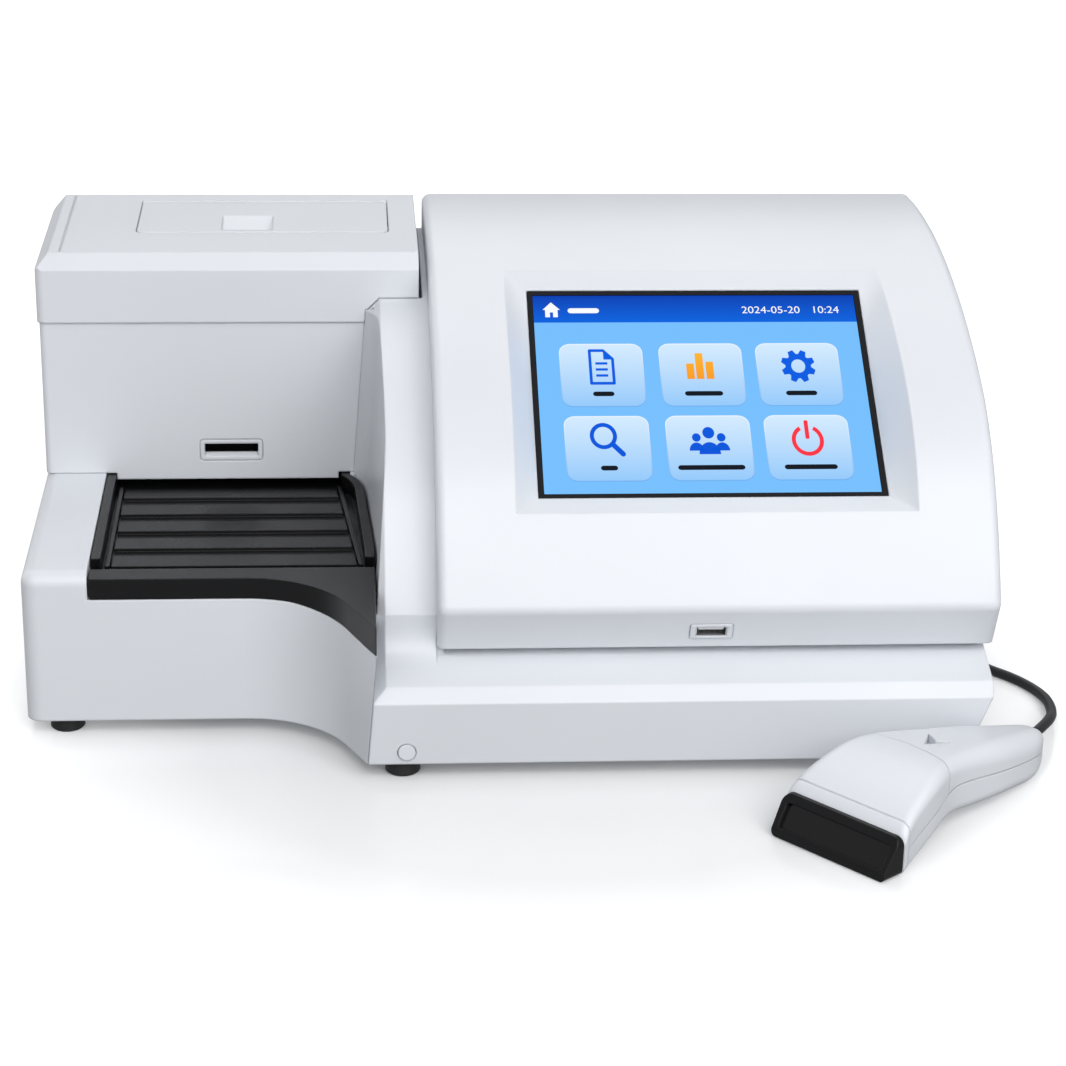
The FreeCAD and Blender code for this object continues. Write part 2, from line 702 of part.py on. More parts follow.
def strip_tray():
    """Pull-out tray: floor, broad front lip that follows the scoop, side rails."""
    bottom = frontWallTop + slip
    floor = prismZ(trayOutline(trayRear), bottom, trayFloorTop)
    full = prismZ(trayOutline(trayRear), bottom - scoopDrop, ledgeTop)
    lip = full.common(block(-far, 0, -far, leftFrontY + lipDepth, bottom, lipTop))
    drop = prismY([(channelLeft, bottom, 0), (scoopDropX, bottom, 60), (flankX, bottom - scoopDrop, 0),
                   (flankX + 20, bottom - scoopDrop, 0), (flankX + 20, bottom + 1, 0),
                   (channelLeft, bottom + 1, 0)], -200, 0)
    band = prismZ([(-far, leftFrontY - 1, 0), scoopCorners(-1)[0], scoopCorners(-1)[1],
                   scoopCorners(lipDepth - 1)[1], scoopCorners(lipDepth - 1)[0],
                   (-far, leftFrontY + lipDepth - 1, 0)], 0, 100)
    apron = full.common(drop).common(band)
    railTop = ledgeTop - slip
    leftRail = block(channelLeft + trayGap, channelLeft + trayGap + railWidth, railFront, trayRear,
                     bottom, railTop)
    side = trayOutline(trayRear)[5:]
    start = trayRight(trayGap)
    outer = [(start, railFront, 0), (start, railTurnY, 0)] + side
    back = [(u - railWidth, v, r) for u, v, r in reversed(outer)]
    rightRail = prismZ(outer + back, bottom, railTop)
    tray = floor.fuse(lip).fuse(apron).fuse(leftRail).fuse(rightRail)
    x0 = channelLeft + trayGap + railWidth + 4
    x1 = trayRight(trayGap) - flankFlare - railWidth - barInset
    rear = barFirst + barDepth / 2
    length = (barCount - 1) * barPitch + barDepth

    def barEnd(y):
        return x1 + barFlare * (rear - y) / length

    for i in range(barCount):
        back, front = rear - i * barPitch, rear - i * barPitch - barDepth
        tray = tray.fuse(prismZ([(x0, front, 0), (barEnd(front), front, 0), (barEnd(back), back, 0), (x0, back, 0)],
                                trayFloorTop - 1, trayFloorTop + barRise))
    front -= 2
    for left, right, foot in ((x0 - 2.5, x0 - 2.5, x0 - 2.5), (x1 + 0.5, x1 + 0.5, barEnd(front) + 0.5)):
        tray = tray.fuse(prismZ([(foot, front, 0), (foot + 2, front, 0), (right + 2, rear, 0), (left, rear, 0)],
                                trayFloorTop - 1, trayFloorTop + barRise + 1))
    return tray.removeSplitter()


# ---- tower and its lid ----------------------------------------------------------------------
def tower_body():
    """Upright housing over the rear of the tray, open below, with a slot in its front."""
    body = prismZ([(towerLeft, rearY, 4), (towerLeft, towerFrontY, 3), (towerRight, towerFrontY, 0),
                   (towerRight, rearY, 0)], towerFloor, lidSeam)
    cavity = prismZ([(towerLeft + wall, rearY - wall, 1), (towerLeft + wall, towerFrontY + wall, 1),
                     (towerRight - wall, towerFrontY + wall, 0), (towerRight - wall, rearY - wall, 0)],
                    0, lidSeam + 1)
    railIn = channelLeft + trayGap + railWidth + slip
    railOut = trayRight(trayGap) - flankFlare - railWidth - railBend
    apron = block(railIn, railOut, towerFrontY, towerFrontY + wall, towerBottom, towerFloor + 1)
    body = body.cut(cavity).fuse(apron)
    mouth = prismY(rounded(slotLeft, slotRight, slotBottom, slotTop, 1.2), 0, 60)
    flange = slotFlange
    seat = prismY(rounded(slotLeft - flange, slotRight + flange, slotBottom - flange, slotTop + flange, 1.8),
                  towerFrontY - 1, towerFrontY + slotRecess)
    return body.cut(mouth).cut(seat.common(body)).removeSplitter()


def slot_frame():
    """Pale frame in the tower's slot, with a sloping lower lip."""
    y0 = towerFrontY + slotRecess
    outer = prismY(rounded(slotLeft + seam, slotRight - seam, slotBottom + seam, slotTop - seam, 1.0),
                   y0 - slotRecess + 0.1, towerFrontY + slotDepth)
    flange = slotFlange - seam
    rim = prismY(rounded(slotLeft - flange, slotRight + flange, slotBottom - flange, slotTop + flange, 1.6),
                 towerFrontY + 0.1, y0 - 0.02)
    throat = prismX([(towerFrontY - 1, slotBottom + slotWall, 0), (towerFrontY, slotBottom + slotWall, 0),
                     (towerFrontY + slotDepth + 0.01, slotBottom + slotLip, 0),
                     (towerFrontY + slotDepth + 0.01, slotTop - slotWall, 0),
                     (towerFrontY - 1, slotTop - slotWall, 0)], slotLeft + slotWall, slotRight - slotWall)
    return outer.fuse(rim).cut(throat).removeSplitter()


def slot_liner():
    """Black throat behind the pale frame, closed at the rear."""
    tube = prismY(rounded(slotLeft + seam, slotRight - seam, slotBottom + seam, slotTop - seam, 1.0),
                  towerFrontY + slotDepth + 0.05, towerFrontY + linerDepth)
    return tube.cut(block(slotLeft + slotWall, slotRight - slotWall, towerFrontY, towerFrontY + linerDepth - 1,
                          slotBottom + slotLip, slotTop - slotWall))


def tower_lid():
    """Bevelled lid, one moulding with the frame round the printer cover."""
    left = towerLeft - lidOver
    front = towerFrontY - lidOver
    rise = lidTop - lidBevelZ
    base = prismZ([(left, rearY, 4), (left, front, 4), (towerRight + 1, front, 0), (towerRight + 1, rearY, 0)],
                  lidSeam + seam, lidTop)
    frontCut = prismX([(front - 5, lidTop + 5, 0), (front - 5, lidBevelZ - 5 * rise / lidBevelRun, 0),
                       (front + lidBevelRun + 5 * lidBevelRun / rise, lidTop + 5, 0)], -far, 100)
    leftCut = prismY([(left - 5, lidTop + 5, 0), (left - 5, lidBevelZ - 5 * rise / lidBevelRun, 0),
                      (left + lidBevelRun + 5 * lidBevelRun / rise, lidTop + 5, 0)], -far, far)
    base = base.cut(frontCut).cut(leftCut)
    cavity = prismZ([(left + wall + lidOver, rearY - wall, 1), (left + wall + lidOver, front + wall + lidOver, 1),
                     (towerRight - wall, front + wall + lidOver, 0), (towerRight - wall, rearY - wall, 0)],
                    0, lidBevelZ - wall)
    upper = prismZ([(left + wall + lidBevelRun, rearY - wall, 1),
                    (left + wall + lidBevelRun, front + wall + lidBevelRun, 1),
                    (towerRight - wall, front + wall + lidBevelRun, 0), (towerRight - wall, rearY - wall, 0)],
                   lidBevelZ - wall - 1, lidTop - wall)
    lid = base.cut(cavity).cut(upper)
    opening = prismZ([(coverLeft - coverGap, coverFront - exitGap, coverCorner + coverGap),
                      (coverRight + coverGap, coverFront - exitGap, coverCorner + coverGap),
                      (coverRight + coverGap, coverRear + coverGap, 0),
                      (coverLeft - coverGap, coverRear + coverGap, 0)], lidTop - wall - 1, lidTop + 1)
    lid = lid.cut(opening)
    for x0, x1 in hingeBosses():
        lid = lid.fuse(block(x0, x1, hingeY - 4, coverRear + coverGap + 1, hingeZ - 5, lidTop - wall + 0.5))
    lid = lid.cut(rod(pinRadius + shaftGap, coverRight - coverLeft + 40, coverLeft - 20, hingeY, hingeZ, 1, 0, 0)
                  .common(block(coverLeft - pinReach - 1, coverRight + pinReach + 1, 0, 200, 100, 200)))
    lid = lid.cut(base_solid(slip).common(flank_solid(-slip)))
    groove = block(left + grooveIn, left + grooveIn + 0.8, front + lidBevelRun + 1, rearY - 2,
                   lidTop - 0.6, lidTop + 1)
    return lid.cut(groove).removeSplitter()


# ---- strip printer --------------------------------------------------------------------------

def hingeBosses():
    return ((coverLeft - coverGap - 4, coverLeft - coverGap), (coverRight + coverGap, coverRight + coverGap + 4))


def printer_cover():
    """Flap over the paper bay: rounded rear edge on the hinge line, finger cup, two platen arms."""
    flat = [(coverFront, lidTop - coverThick, 0), (coverFront, lidTop, 0.8), (hingeY, lidTop, 0),
            (hingeY, lidTop - coverThick, 0)]
    plateSolid = prismX(flat, coverLeft, coverRight)
    plateSolid = plateSolid.common(prismZ([(coverLeft, coverFront, coverCorner), (coverRight, coverFront, coverCorner),
                                           (coverRight, coverRear, 0), (coverLeft, coverRear, 0)], 0, far))
    knuckle = rod(lidTop - hingeZ, coverRight - coverLeft, coverLeft, hingeY, hingeZ, 1, 0, 0)
    cupFront = coverFront + 3.4
    cupOuter = block(cupLeft - 1.5, cupRight + 1.5, cupFront - 1.2, cupFront + cupDepth + 1.5,
                     lidTop - coverThick - 3.0, lidTop - 1)
    cup = prismX([(cupFront, lidTop + 1, 0), (cupFront, lidTop - 4.4, 0), (cupFront + 4, lidTop - 4.8, 1),
                  (cupFront + cupDepth, lidTop, 0), (cupFront + cupDepth + 2, lidTop + 1, 0)],
                 cupLeft, cupRight)
    cover = plateSolid.fuse(knuckle).fuse(cupOuter)
    armProfile = [(platenY - 4, lidTop - coverThick + 0.5, 0), (platenY - 4, platenZ - 3, 2.5),
                  (platenY + 4, platenZ - 3, 2.5), (platenY + 7, lidTop - coverThick + 0.5, 0)]
    for x in (paperX - platenLength / 2 - 3.2, paperX + platenLength / 2 + 0.7):
        cover = cover.fuse(prismX(armProfile, x, x + 2.5))
    bore = rod(platenShaft + shaftGap, 80, paperX - 40, platenY, platenZ, 1, 0, 0)
    pins = rod(pinRadius, coverRight - coverLeft + 2, coverLeft - 1, hingeY, hingeZ, 1, 0, 0)
    return cover.cut(cup).cut(bore).cut(pins).removeSplitter()


def cover_hinge_pin():
    pin = rod(pinRadius, coverRight - coverLeft + 2 * pinReach, coverLeft - pinReach, hingeY, hingeZ, 1, 0, 0)
    return pin.common(block(coverLeft - pinReach, coverLeft + 1, 0, 200, 0, 200)
                      .fuse(block(coverRight - 1, coverRight + pinReach, 0, 200, 0, 200)))


def platen_roller():
    shaft = rod(platenShaft, platenLength + 12, paperX - platenLength / 2 - 4, platenY, platenZ, 1, 0, 0)
    sleeve = rod(platenRadius, platenLength, paperX - platenLength / 2, platenY, platenZ, 1, 0, 0)
    gear = rod(platenRadius + 0.6, 3, paperX + platenLength / 2 + 4.2, platenY, platenZ, 1, 0, 0)
    return shaft.fuse(sleeve).fuse(gear)


def paper_bay():
    """Open-topped tub that holds the paper roll; side flanges hang it under the lid."""
    y0 = coverFront + 10.5
    y1 = coverRear - 0.5
    under = lidTop - coverThick
    shelf = platenZ - platenRadius - 4.2
    tub = block(bayLeft, bayRight, y0 - bayWall, y1, bayFloor - bayWall, under - 0.4)
    tub = tub.cut(block(bayLeft + bayWall, bayRight - bayWall, y0, y1 - bayWall, bayFloor, under + 1))
    tub = tub.cut(block(bayLeft - 1, bayRight + 1, y0 - 3, y0 + 16, shelf, under + 1))
    tub = tub.cut(block(bayLeft - 1, bayRight + 1, y1 - 6, y1 + 1, 2 * hingeZ - lidTop - 1, under + 1))
    tub = tub.fuse(block(bayLeft, bayRight, coverFront - exitGap, y0, shelf - bayWall, shelf))
    for x0, x1, hang0, hang1 in ((coverLeft - 8, bayLeft + 1, coverLeft - 8, coverLeft - 2),
                                 (bayRight - 1, coverRight + 8, coverRight + 2, coverRight + 8)):
        tub = tub.fuse(block(x0, x1, y0 + 18, y0 + 30, under - 2.6, under - 0.4))
        tub = tub.fuse(block(hang0, hang1, y0 + 18, y0 + 30, under - 2.6, under))
    slots = rod(spindleRadius / 2 + shaftGap, bayRight - bayLeft + 2, bayLeft - 1, paperY, paperZ, 1, 0, 0)
    return tub.cut(slots)


def paper_spindle():
    core = rod(spindleRadius - shaftGap, paperWidth + 4, paperX - paperWidth / 2 - 2, paperY, paperZ, 1, 0, 0)
    return core.fuse(rod(spindleRadius / 2, bayRight - bayLeft + 1, bayLeft - 0.5, paperY, paperZ, 1, 0, 0))


def paper_roll():
    roll = rod(paperRadius, paperWidth, paperX - paperWidth / 2, paperY, paperZ, 1, 0, 0)
    return roll.cut(rod(spindleRadius, paperWidth + 2, paperX - paperWidth / 2 - 1, paperY, paperZ, 1, 0, 0))


def thermal_head():
    """Print head block under the platen with its sprung backing plate."""
    top = platenZ - platenRadius - 0.2
    x0 = paperX - platenLength / 2
    head = block(x0, x0 + platenLength, platenY - 5, platenY + 5, top - 2, top)
    return head.fuse(block(x0 - 8, x0 + platenLength + 8, platenY - 5, platenY + 5, top - 4, top - 1.9))


def tear_bar():
    """Toothed strip at the front of the paper exit, fixed to the bay's front shelf."""
    teeth = 19
    pitch = platenLength / teeth
    x0 = paperX - platenLength / 2
    low = platenZ - platenRadius - 6.2
    corners = [(x0, low, 0), (x0 + platenLength, low, 0)]
    for i in range(teeth, 0, -1):
        corners += [(x0 + i * pitch, lidTop - 4.4, 0), (x0 + (i - 0.5) * pitch, lidTop - 3.4, 0)]
    corners += [(x0, lidTop - 4.4, 0)]
    return prismY(corners, coverFront - exitGap - 0.8, coverFront - exitGap)


# ---- display ----------------------------------------------------------------------------------
def display_ring():
    """Black ring that frames the glass inside the window."""
    clear = 2 * seam
    ring = screenBox(windowWidth - clear, windowHeight - clear, -wall + 0.05, -0.4, 1.0)
    glass = screenBox(windowWidth - 2 * ringWidth, windowHeight - 2 * ringWidth, -wall - 1, 1, glassCorner)
    return ring.cut(glass)


def touch_glass():
    clear = 2 * ringWidth + 0.2
    return screenBox(windowWidth - clear, windowHeight - clear, -glassThick - 0.8, -0.8, glassCorner)


def display_module():
    """Panel and backlight tray clamped behind the window."""
    front = screenBox(windowWidth - 2 * ringWidth - 0.2, windowHeight - 2 * ringWidth - 0.2,
                      -wall, -glassThick - 0.8, glassCorner)
    return front.fuse(screenBox(windowWidth + 8, windowHeight + 8, -wall - moduleDepth, -wall))


# ---- connector in the chin ----------------------------------------------------------------------


def onChin(u, v, n):
    """Point u right, v up the chin and n out of it, from the centre of the connector."""
    lip, foot, chin = lipCorner(0)
    c, s = -chin[0], chin[1]
    middle = (foot[0] + chin[0] * 9.8, foot[1] + chin[1] * 9.8)
    return Vector(usbX + u, middle[0] - v * c - n * s, middle[1] + v * s - n * c)


def chinBox(width, height, n0, n1, r=0.0):
    corners = rounded(-width / 2, width / 2, -height / 2, height / 2, r)
    face = Part.Face(outline(corners, lambda u, v: onChin(u, v, n0)))
    return face.extrude(onChin(0, 0, n1) - onChin(0, 0, n0))


def usb_bezel():
    plateSolid = chinBox(usbWidth - 2 * usbClear, usbHeight - 2 * usbClear, -usbRecess, 0.5, 1.0)
    return plateSolid.cut(chinBox(portWidth + 0.2, portHeight + 0.2, -5, 5, 0.3))


def usb_port():
    """Receptacle shell."""
    shellSolid = chinBox(portWidth, portHeight, -14, 0.1, 0.3)
    return shellSolid.cut(chinBox(portWidth - 0.8, portHeight - 0.8, -12.5, 1))


def usb_tongue():
    """White contact tongue in the upper half of the receptacle."""
    tongue = chinBox(portWidth - 2.4, tongueThick, -12.5, -1.0)
    return tongue.translated(onChin(0, tongueRise, 0) - onChin(0, 0, 0))


# ---- underside --------------------------------------------------------------------------------
def main_bottom_plate():
    x0 = panelLeft + wall
    cover = rightFlank(wall + slip).common(block(x0, baseRight, baseFrontBottomY + wall + slip, baseRearY - wall - slip,
                                                 footHeight, footHeight + plate))
    left = block(flankX - flankFlare, x0, baseFrontBottomY + wall + slip, towerFrontY - 2 * wall,
                 footHeight, footHeight + plate).common(flank_solid(wall + slip))
    return cover.fuse(left).removeSplitter()


def left_bottom_plate():
    bend, end = scoopCorners(wall + slip)
    corners = [(leftX + wall + slip, rearY - wall - slip, 0), (leftX + wall + slip, leftFrontY + wall + slip, 3),
               bend, end, (shelfX - nookWide, nookRear, 0), (shelfX - wall - slip, nookRear, 0),
               (shelfX - wall - slip, rearY - wall - slip, 0)]
    return prismZ(corners, footHeight, footHeight + plate).cut(flank_solid(-wall - slip))


def rubber_feet():
    profile = [(0, 0), (footRadius - 0.8, 0), (footRadius, 0.8), (footRadius - 0.4, footHeight), (0, footHeight)]
    solids = []
    for x, y in footSpots:
        face = Part.Face(Part.makePolygon([Vector(x + u, y, w) for u, w in profile + profile[:1]]))
        solids.append(face.revolve(Vector(x, y, 0), Vector(0, 0, 1), 360)
                      .cut(rod(3.2, 4.5, x, y, -0.5)))
    return Part.makeCompound(solids)


def foot_screws():
    return Part.makeCompound([rod(2.8, 1.6, x, y, 2.4) for x, y in footSpots])


def front_plug():
    """Round plug in the lower front face."""
    lean = math.atan2(baseFrontBottomY - baseFrontY, bevelLowZ - footHeight)
    y = baseFrontBottomY - (plugZ - footHeight) * math.tan(lean)
    stem = rod(plugRadius + plugGap - shaftGap, 2.0, plugX, y + 1.5, plugZ, 0, 1, 0)
    return rod(plugRadius, 4.0, plugX, y - 0.5, plugZ, 0, 1, 0).fuse(stem)


# ---- reader above the rear of the tray --------------------------------------------------------
def reader_frame():
    """Two end plates that stand on the left base and hold the guide rods."""
    solids = []
    for x in (bracketLeft, bracketRight):
        stand = block(x, x + bracketThick, guideY[0] - 10, guideY[1] + 10, towerFloor, beltZ + 12)
        foot = block(x - 4, x + bracketThick + 4, guideY[0] - 10, guideY[1] + 10, towerFloor, towerFloor + 2)
        solid = stand.fuse(foot)
        for y in guideY:
            solid = solid.cut(rod(guideRadius, 5, x - 1, y, railZ, 1, 0, 0))
        solid = solid.cut(rod(1.5 + shaftGap, 5, x - 1, beltY, beltZ, 1, 0, 0))
        solids.append(solid)
    return Part.makeCompound(solids)


def guide_rods():
    return Part.makeCompound([rod(guideRadius, bracketRight - bracketLeft + bracketThick, bracketLeft, y, railZ, 1, 0, 0)
                              for y in guideY])


def reader_carriage():
    """Optical head that runs along the rods over the strips."""
    x0, x1 = carriageX, carriageX + carriageWidth
    body = block(x0, x1, guideY[0] - 7, guideY[1] + 7, railZ - 7, railZ + 7)
    under = railZ - headDepth
    hood = prismX([(guideY[0] + 6, railZ - 6, 0), (guideY[0] + 10, under, 1), (guideY[1] - 10, under, 1),
                   (guideY[1] - 6, railZ - 6, 0)], x0 + 3, x1 - 3)
    body = body.fuse(hood)
    for y in guideY:
        body = body.cut(rod(guideRadius + shaftGap, carriageWidth + 2, x0 - 1, y, railZ, 1, 0, 0))
    nut = block(x0 + 10, x1 - 10, beltY - 6, beltY + 6, railZ + 6, beltZ + nutHalf)
    return body.fuse(nut).cut(rod(screwRadius + shaftGap, carriageWidth, x0, beltY, beltZ, 1, 0, 0))


def sensor_window():
    x0, x1 = carriageX + 6, carriageX + carriageWidth - 6
    return block(x0, x1, guideY[0] + 12, guideY[1] - 12, railZ - headDepth - readThick, railZ - headDepth)


def lead_screw():
    """Turning screw that carries the head along."""
    shaft = rod(1.5, bracketRight - bracketLeft + 5, bracketLeft - 1, beltY, beltZ, 1, 0, 0)
    return shaft.fuse(rod(screwRadius, bracketRight - bracketLeft - 8, bracketLeft + 6, beltY, beltZ, 1, 0, 0))


def stepper_motor():
    """Motor outside the right-hand end plate, on the screw's line."""
    return block(bracketRight + bracketThick, bracketRight + bracketThick + 12, beltY - 10, beltY + 10, beltZ - 10, beltZ + 10).cut(
        rod(1.5 + shaftGap, 4, bracketRight + 2.5, beltY, beltZ, 1, 0, 0))


# ---- electronics and rear connectors ------------------------------------------------------------
def main_board():
    """Circuit board on four pillars over the bottom plate."""
    x0, x1, y0, y1 = boardSides
    board = block(x0, x1, y0, y1, boardZ, boardTop)
    for x in (x0 + 8, x1 - 8):
        for y in (y0 + 8, y1 - 8):
            board = board.fuse(rod(3.0, boardZ - footHeight - plate + 0.5, x, y, footHeight + plate))
    for cx, cy, w, d, h in boardBlocks:
        board = board.fuse(block(cx, cx + w, cy, cy + d, boardZ + 1, boardTop + h))
    return board


def portLeg(x, halfWidth):
    """Foot of a connector on the board."""
    return block(x - halfWidth, x + halfWidth, baseRearY - 9, baseRearY - 5, boardTop, portZ - 3.2)


def main_rear_cuts():
    """Openings in the rear wall for switch, inlet, serial and scanner connectors."""
    y0, y1 = rearWallFront - 1, baseRearY + 1
    cuts = block(switchX - 9.7, switchX + 9.7, y0, y1, portZ - 6.5, portZ + 6.5)
    cuts = cuts.fuse(rod(5.6, wall + 2, inletX, y0, portZ, 0, 1, 0))
    cuts = cuts.fuse(block(serialX - 9.5, serialX + 9.5, y0, y1, portZ - 5.2, portZ + 5.2))
    return cuts.fuse(block(scanPortX - 7.2, scanPortX + 7.2, y0, y1, portZ - 3.6, portZ + 3.6))


def power_switch():
    """Snap-in housing of the rocker."""
    y0 = rearWallFront - 12
    body = block(switchX - 9.5, switchX + 9.5, y0, baseRearY, portZ - 6.3, portZ + 6.3)
    flange = block(switchX - 11, switchX + 11, baseRearY, baseRearY + 1.5, portZ - 7.8, portZ + 7.8)
    well = block(switchX - 8, switchX + 8, baseRearY - 7, baseRearY + 3, portZ - 5, portZ + 5)
    pivot = rod(1.0 + shaftGap, 20, switchX, baseRearY - 1.5, portZ - 10, 0, 0, 1)
    return body.fuse(flange).cut(well).cut(pivot.common(block(0, far, 0, far, portZ - 5.9, portZ + 5.9)))


def power_rocker():
    """Rocker that tips about a short upright pin."""
    y0 = baseRearY - 1.5
    profile = [(switchX - 7.2, y0 - 2.5, 0), (switchX + 7.2, y0 - 2.5, 0), (switchX + 7.2, y0 + 2.6, 0.6),
               (switchX, y0 + 1.6, 0), (switchX - 7.2, y0 + 2.6, 0.6)]
    body = prismZ(profile, portZ - 4.7, portZ + 4.7)
    return body.fuse(rod(1.0, 11.6, switchX, y0, portZ - 5.8))


def power_inlet():
    """Barrel socket for the mains adapter."""
    body = rod(5.5, 12.5, inletX, baseRearY - 12.5, portZ, 0, 1, 0).fuse(portLeg(inletX, 4))
    body = body.fuse(rod(7.2, 1.2, inletX, baseRearY, portZ, 0, 1, 0))
    body = body.cut(rod(inletBore, 12, inletX, baseRearY - 9.5, portZ, 0, 1, 0))
    return body.fuse(rod(1.05, 8, inletX, baseRearY - 9.5, portZ, 0, 1, 0))


def serial_port():
    """Nine-way shell with its two jack posts."""
    y1 = baseRearY + 1.2
    flange = block(serialX - 15.4, serialX + 15.4, baseRearY, y1, portZ - 6.2, portZ + 6.2)
    body = block(serialX - 9.2, serialX + 9.2, baseRearY - 10, baseRearY, portZ - 5, portZ + 5)
    shellCorners = [(serialX - 8.6, portZ + 4.2, 2), (serialX - 7.4, portZ - 4.2, 2),
                    (serialX + 7.4, portZ - 4.2, 2), (serialX + 8.6, portZ + 4.2, 2)]
    shell = prismY(shellCorners, y1 - 0.5, y1 + 5.6)
    inner = [(u - math.copysign(0.7, u - serialX), v - math.copysign(0.7, v - portZ), 1.4)
             for u, v, _ in shellCorners]
    port = flange.fuse(body).fuse(portLeg(serialX, 8)).fuse(shell).cut(prismY(inner, y1, y1 + 6))
    for x in (serialX - 12.5, serialX + 12.5):
        port = port.fuse(rod(2.4, 4.6, x, y1, portZ, 0, 1, 0)).cut(rod(1.3, 5, x, y1 + 1, portZ, 0, 1, 0))
    return port


def scanner_socket():
    """Receptacle in the rear wall that takes the scanner's plug."""
    body = block(scanPortX - 7, scanPortX + 7, baseRearY - 14, baseRearY, portZ - 3.4, portZ + 3.4)
    body = body.fuse(portLeg(scanPortX, 6))
    return body.cut(block(scanPortX - plugHalf - usbClear, scanPortX + plugHalf + usbClear, baseRearY - 12.5,
                          baseRearY + 1, portZ - plugThick / 2 - usbClear, portZ + plugThick / 2 + usbClear))


# ---- hand scanner -------------------------------------------------------------------------------
def placeScanner(shape):
    moved = shape.copy()
    moved.rotate(Vector(0, 0, 0), Vector(0, 0, 1), headTurn)
    moved.translate(Vector(noseX, noseY, 0))
    return moved


def scannerPoint(s, t, z):
    c, k = slope(headTurn)
    return Vector(noseX + s * c - t * k, noseY + s * k + t * c, z)


def scanner_form():
    rings = []
    for s, right, left, top, r, low in scannerSections:
        limit = min(r, (top - low) / 2 - 0.3, (left - right) / 2 - 0.3)
        rings.append(outline([(right, low, limit * 0.7), (left, low, limit * 0.7),
                              (left, top, limit), (right, top, limit)], onX(s)))
    return Part.makeLoft(rings, True, False)


def splitSide(gap, level):
    """Everything between the curved seam, lowered by gap, and the given level."""
    def line(a, b, at):
        return (at, a[1] - gap + (b[1] - a[1]) * (at - a[0]) / (b[0] - a[0]), 0)
    front, rear = line(splitFront, splitCrest, -50), line(splitRear, splitCrest, far)
    return prismY([(far, level, 0), (-50, level, 0), front, (splitCrest[0], splitCrest[1] - gap, 40), rear],
                  -100, 100)


def reliefSeat():
    c, s = slope(reliefHeading - headTurn)
    return rod(reliefRadius + 0.1, reliefLength, *reliefFrom, c, s, 0)


def scanner_head_shell():
    form = scanner_form().common(splitSide(0, 100)).common(rod(headArc, 200, 0, 0, -50))
    return form.common(block(noseLength + stripLength + seam, 200, -100, 100, -10, 100))


def scanner_collar():
    """Narrow band between nose and head."""
    return scanner_form().common(block(noseLength, noseLength + stripLength, -100, 100, -10, 100))


def scanner_handle_shell():
    wider = rod(headArc + seam, 200, 0, 0, -50)
    form = scanner_form().common(splitSide(0, 100)).cut(wider).cut(reliefSeat())
    mark = prismZ([(headArc + 16, -8.5, 0), (headArc + 5, -2.5, 0), (headArc + 16, 3.5, 0),
                   (headArc + 12.5, -2.5, 0)], 26.9, 40)
    return form.cut(mark)


def scanner_lower_shell():
    form = scanner_form().common(splitSide(seam, -100))
    form = form.common(block(noseLength + stripLength + seam, far, -100, 100, -10, 100))
    form = form.cut(reliefSeat())
    return form.cut(block(triggerFrom - slip, triggerTo + slip, triggerT - triggerHalf - slip,
                          triggerT + triggerHalf + slip, -5, triggerTop + triggerTravel + 2 * slip))


def scanner_trigger():
    """Push key in the underside of the neck."""
    key = prismY([(triggerFrom, triggerLow + 0.4, 0.5), (triggerTo, triggerLow, 0.5), (triggerTo, triggerTop, 0),
                  (triggerFrom, triggerTop, 0)], triggerT - triggerHalf, triggerT + triggerHalf)
    return key


def onNose(u, v, n):
    """Point u across, v up the sloping front and n out of it, from the middle of its foot."""
    c, k = slope(noseSlope)
    return Vector(noseFootS + v * c - n * k, u, noseFootZ + v * k + n * c)


def noseBox(width, v0, v1, n0, n1, r=0.0):
    corners = rounded(-width / 2, width / 2, v0, v1, r)
    face = Part.Face(outline(corners, lambda u, v: onNose(u, v, n0)))
    return face.extrude(onNose(0, 0, n1) - onNose(0, 0, n0))


def scanner_nose():
    """Black wedge; its sloping front holds the recessed scan window."""
    s, right, left, top, r, low = scannerSections[0]
    rings = []
    for at, half in ((noseFootS - 1, left - noseTaper), (noseLength, left - noseStep)):
        rings.append(outline([(-half, low, r * 0.6), (half, low, r * 0.6), (half, top, r), (-half, top, r)],
                             onX(at)))
    c, k = slope(noseSlope)
    crest = noseFootS + (top - noseFootZ) * c / k
    side = prismY([(noseFootS, low, 0.4), (noseLength, low, 0), (noseLength, top + 1, 0), (crest, top + 1, 0),
                   (crest, top, 1.2), (noseFootS, noseFootZ, 0.8)], -left, left)
    body = Part.makeLoft(rings, True, True).common(side)
    return body.cut(noseBox(windowAcross, windowLow, windowHigh, -windowDeep - windowThick, 5, windowCorner))


def scanner_window():
    return noseBox(windowAcross - 2 * usbClear, windowLow + usbClear, windowHigh - usbClear,
                   -windowDeep - windowThick, -windowDeep, windowCorner - usbClear)


def scanner_strain_relief():
    """Ribbed tapered sleeve on the lead."""
    start = scannerPoint(*reliefFrom)
    c, s = slope(reliefHeading)
    profile = [(0, 0), (reliefRadius, 0), (reliefRadius, 2.0)]
    step = (reliefLength - 2.0) / 4
    for i in range(4):
        r = reliefRadius - 0.3 - 0.35 * i
        profile += [(r, 2.0 + i * step), (r, 2.0 + (i + 0.6) * step), (r - 0.7, 2.0 + (i + 0.65) * step),
                    (r - 0.7, 2.0 + (i + 1) * step)]
    profile += [(0, reliefLength)]
    points = [Vector(r, 0, h) for r, h in profile]
    solid = Part.Face(Part.makePolygon(points + points[:1])).revolve(Vector(0, 0, 0), Vector(0, 0, 1), 360)
    solid.rotate(Vector(0, 0, 0), Vector(0, 1, 0), 90)
    solid.rotate(Vector(0, 0, 0), Vector(0, 0, 1), reliefHeading)
    solid.translate(start)
    return solid


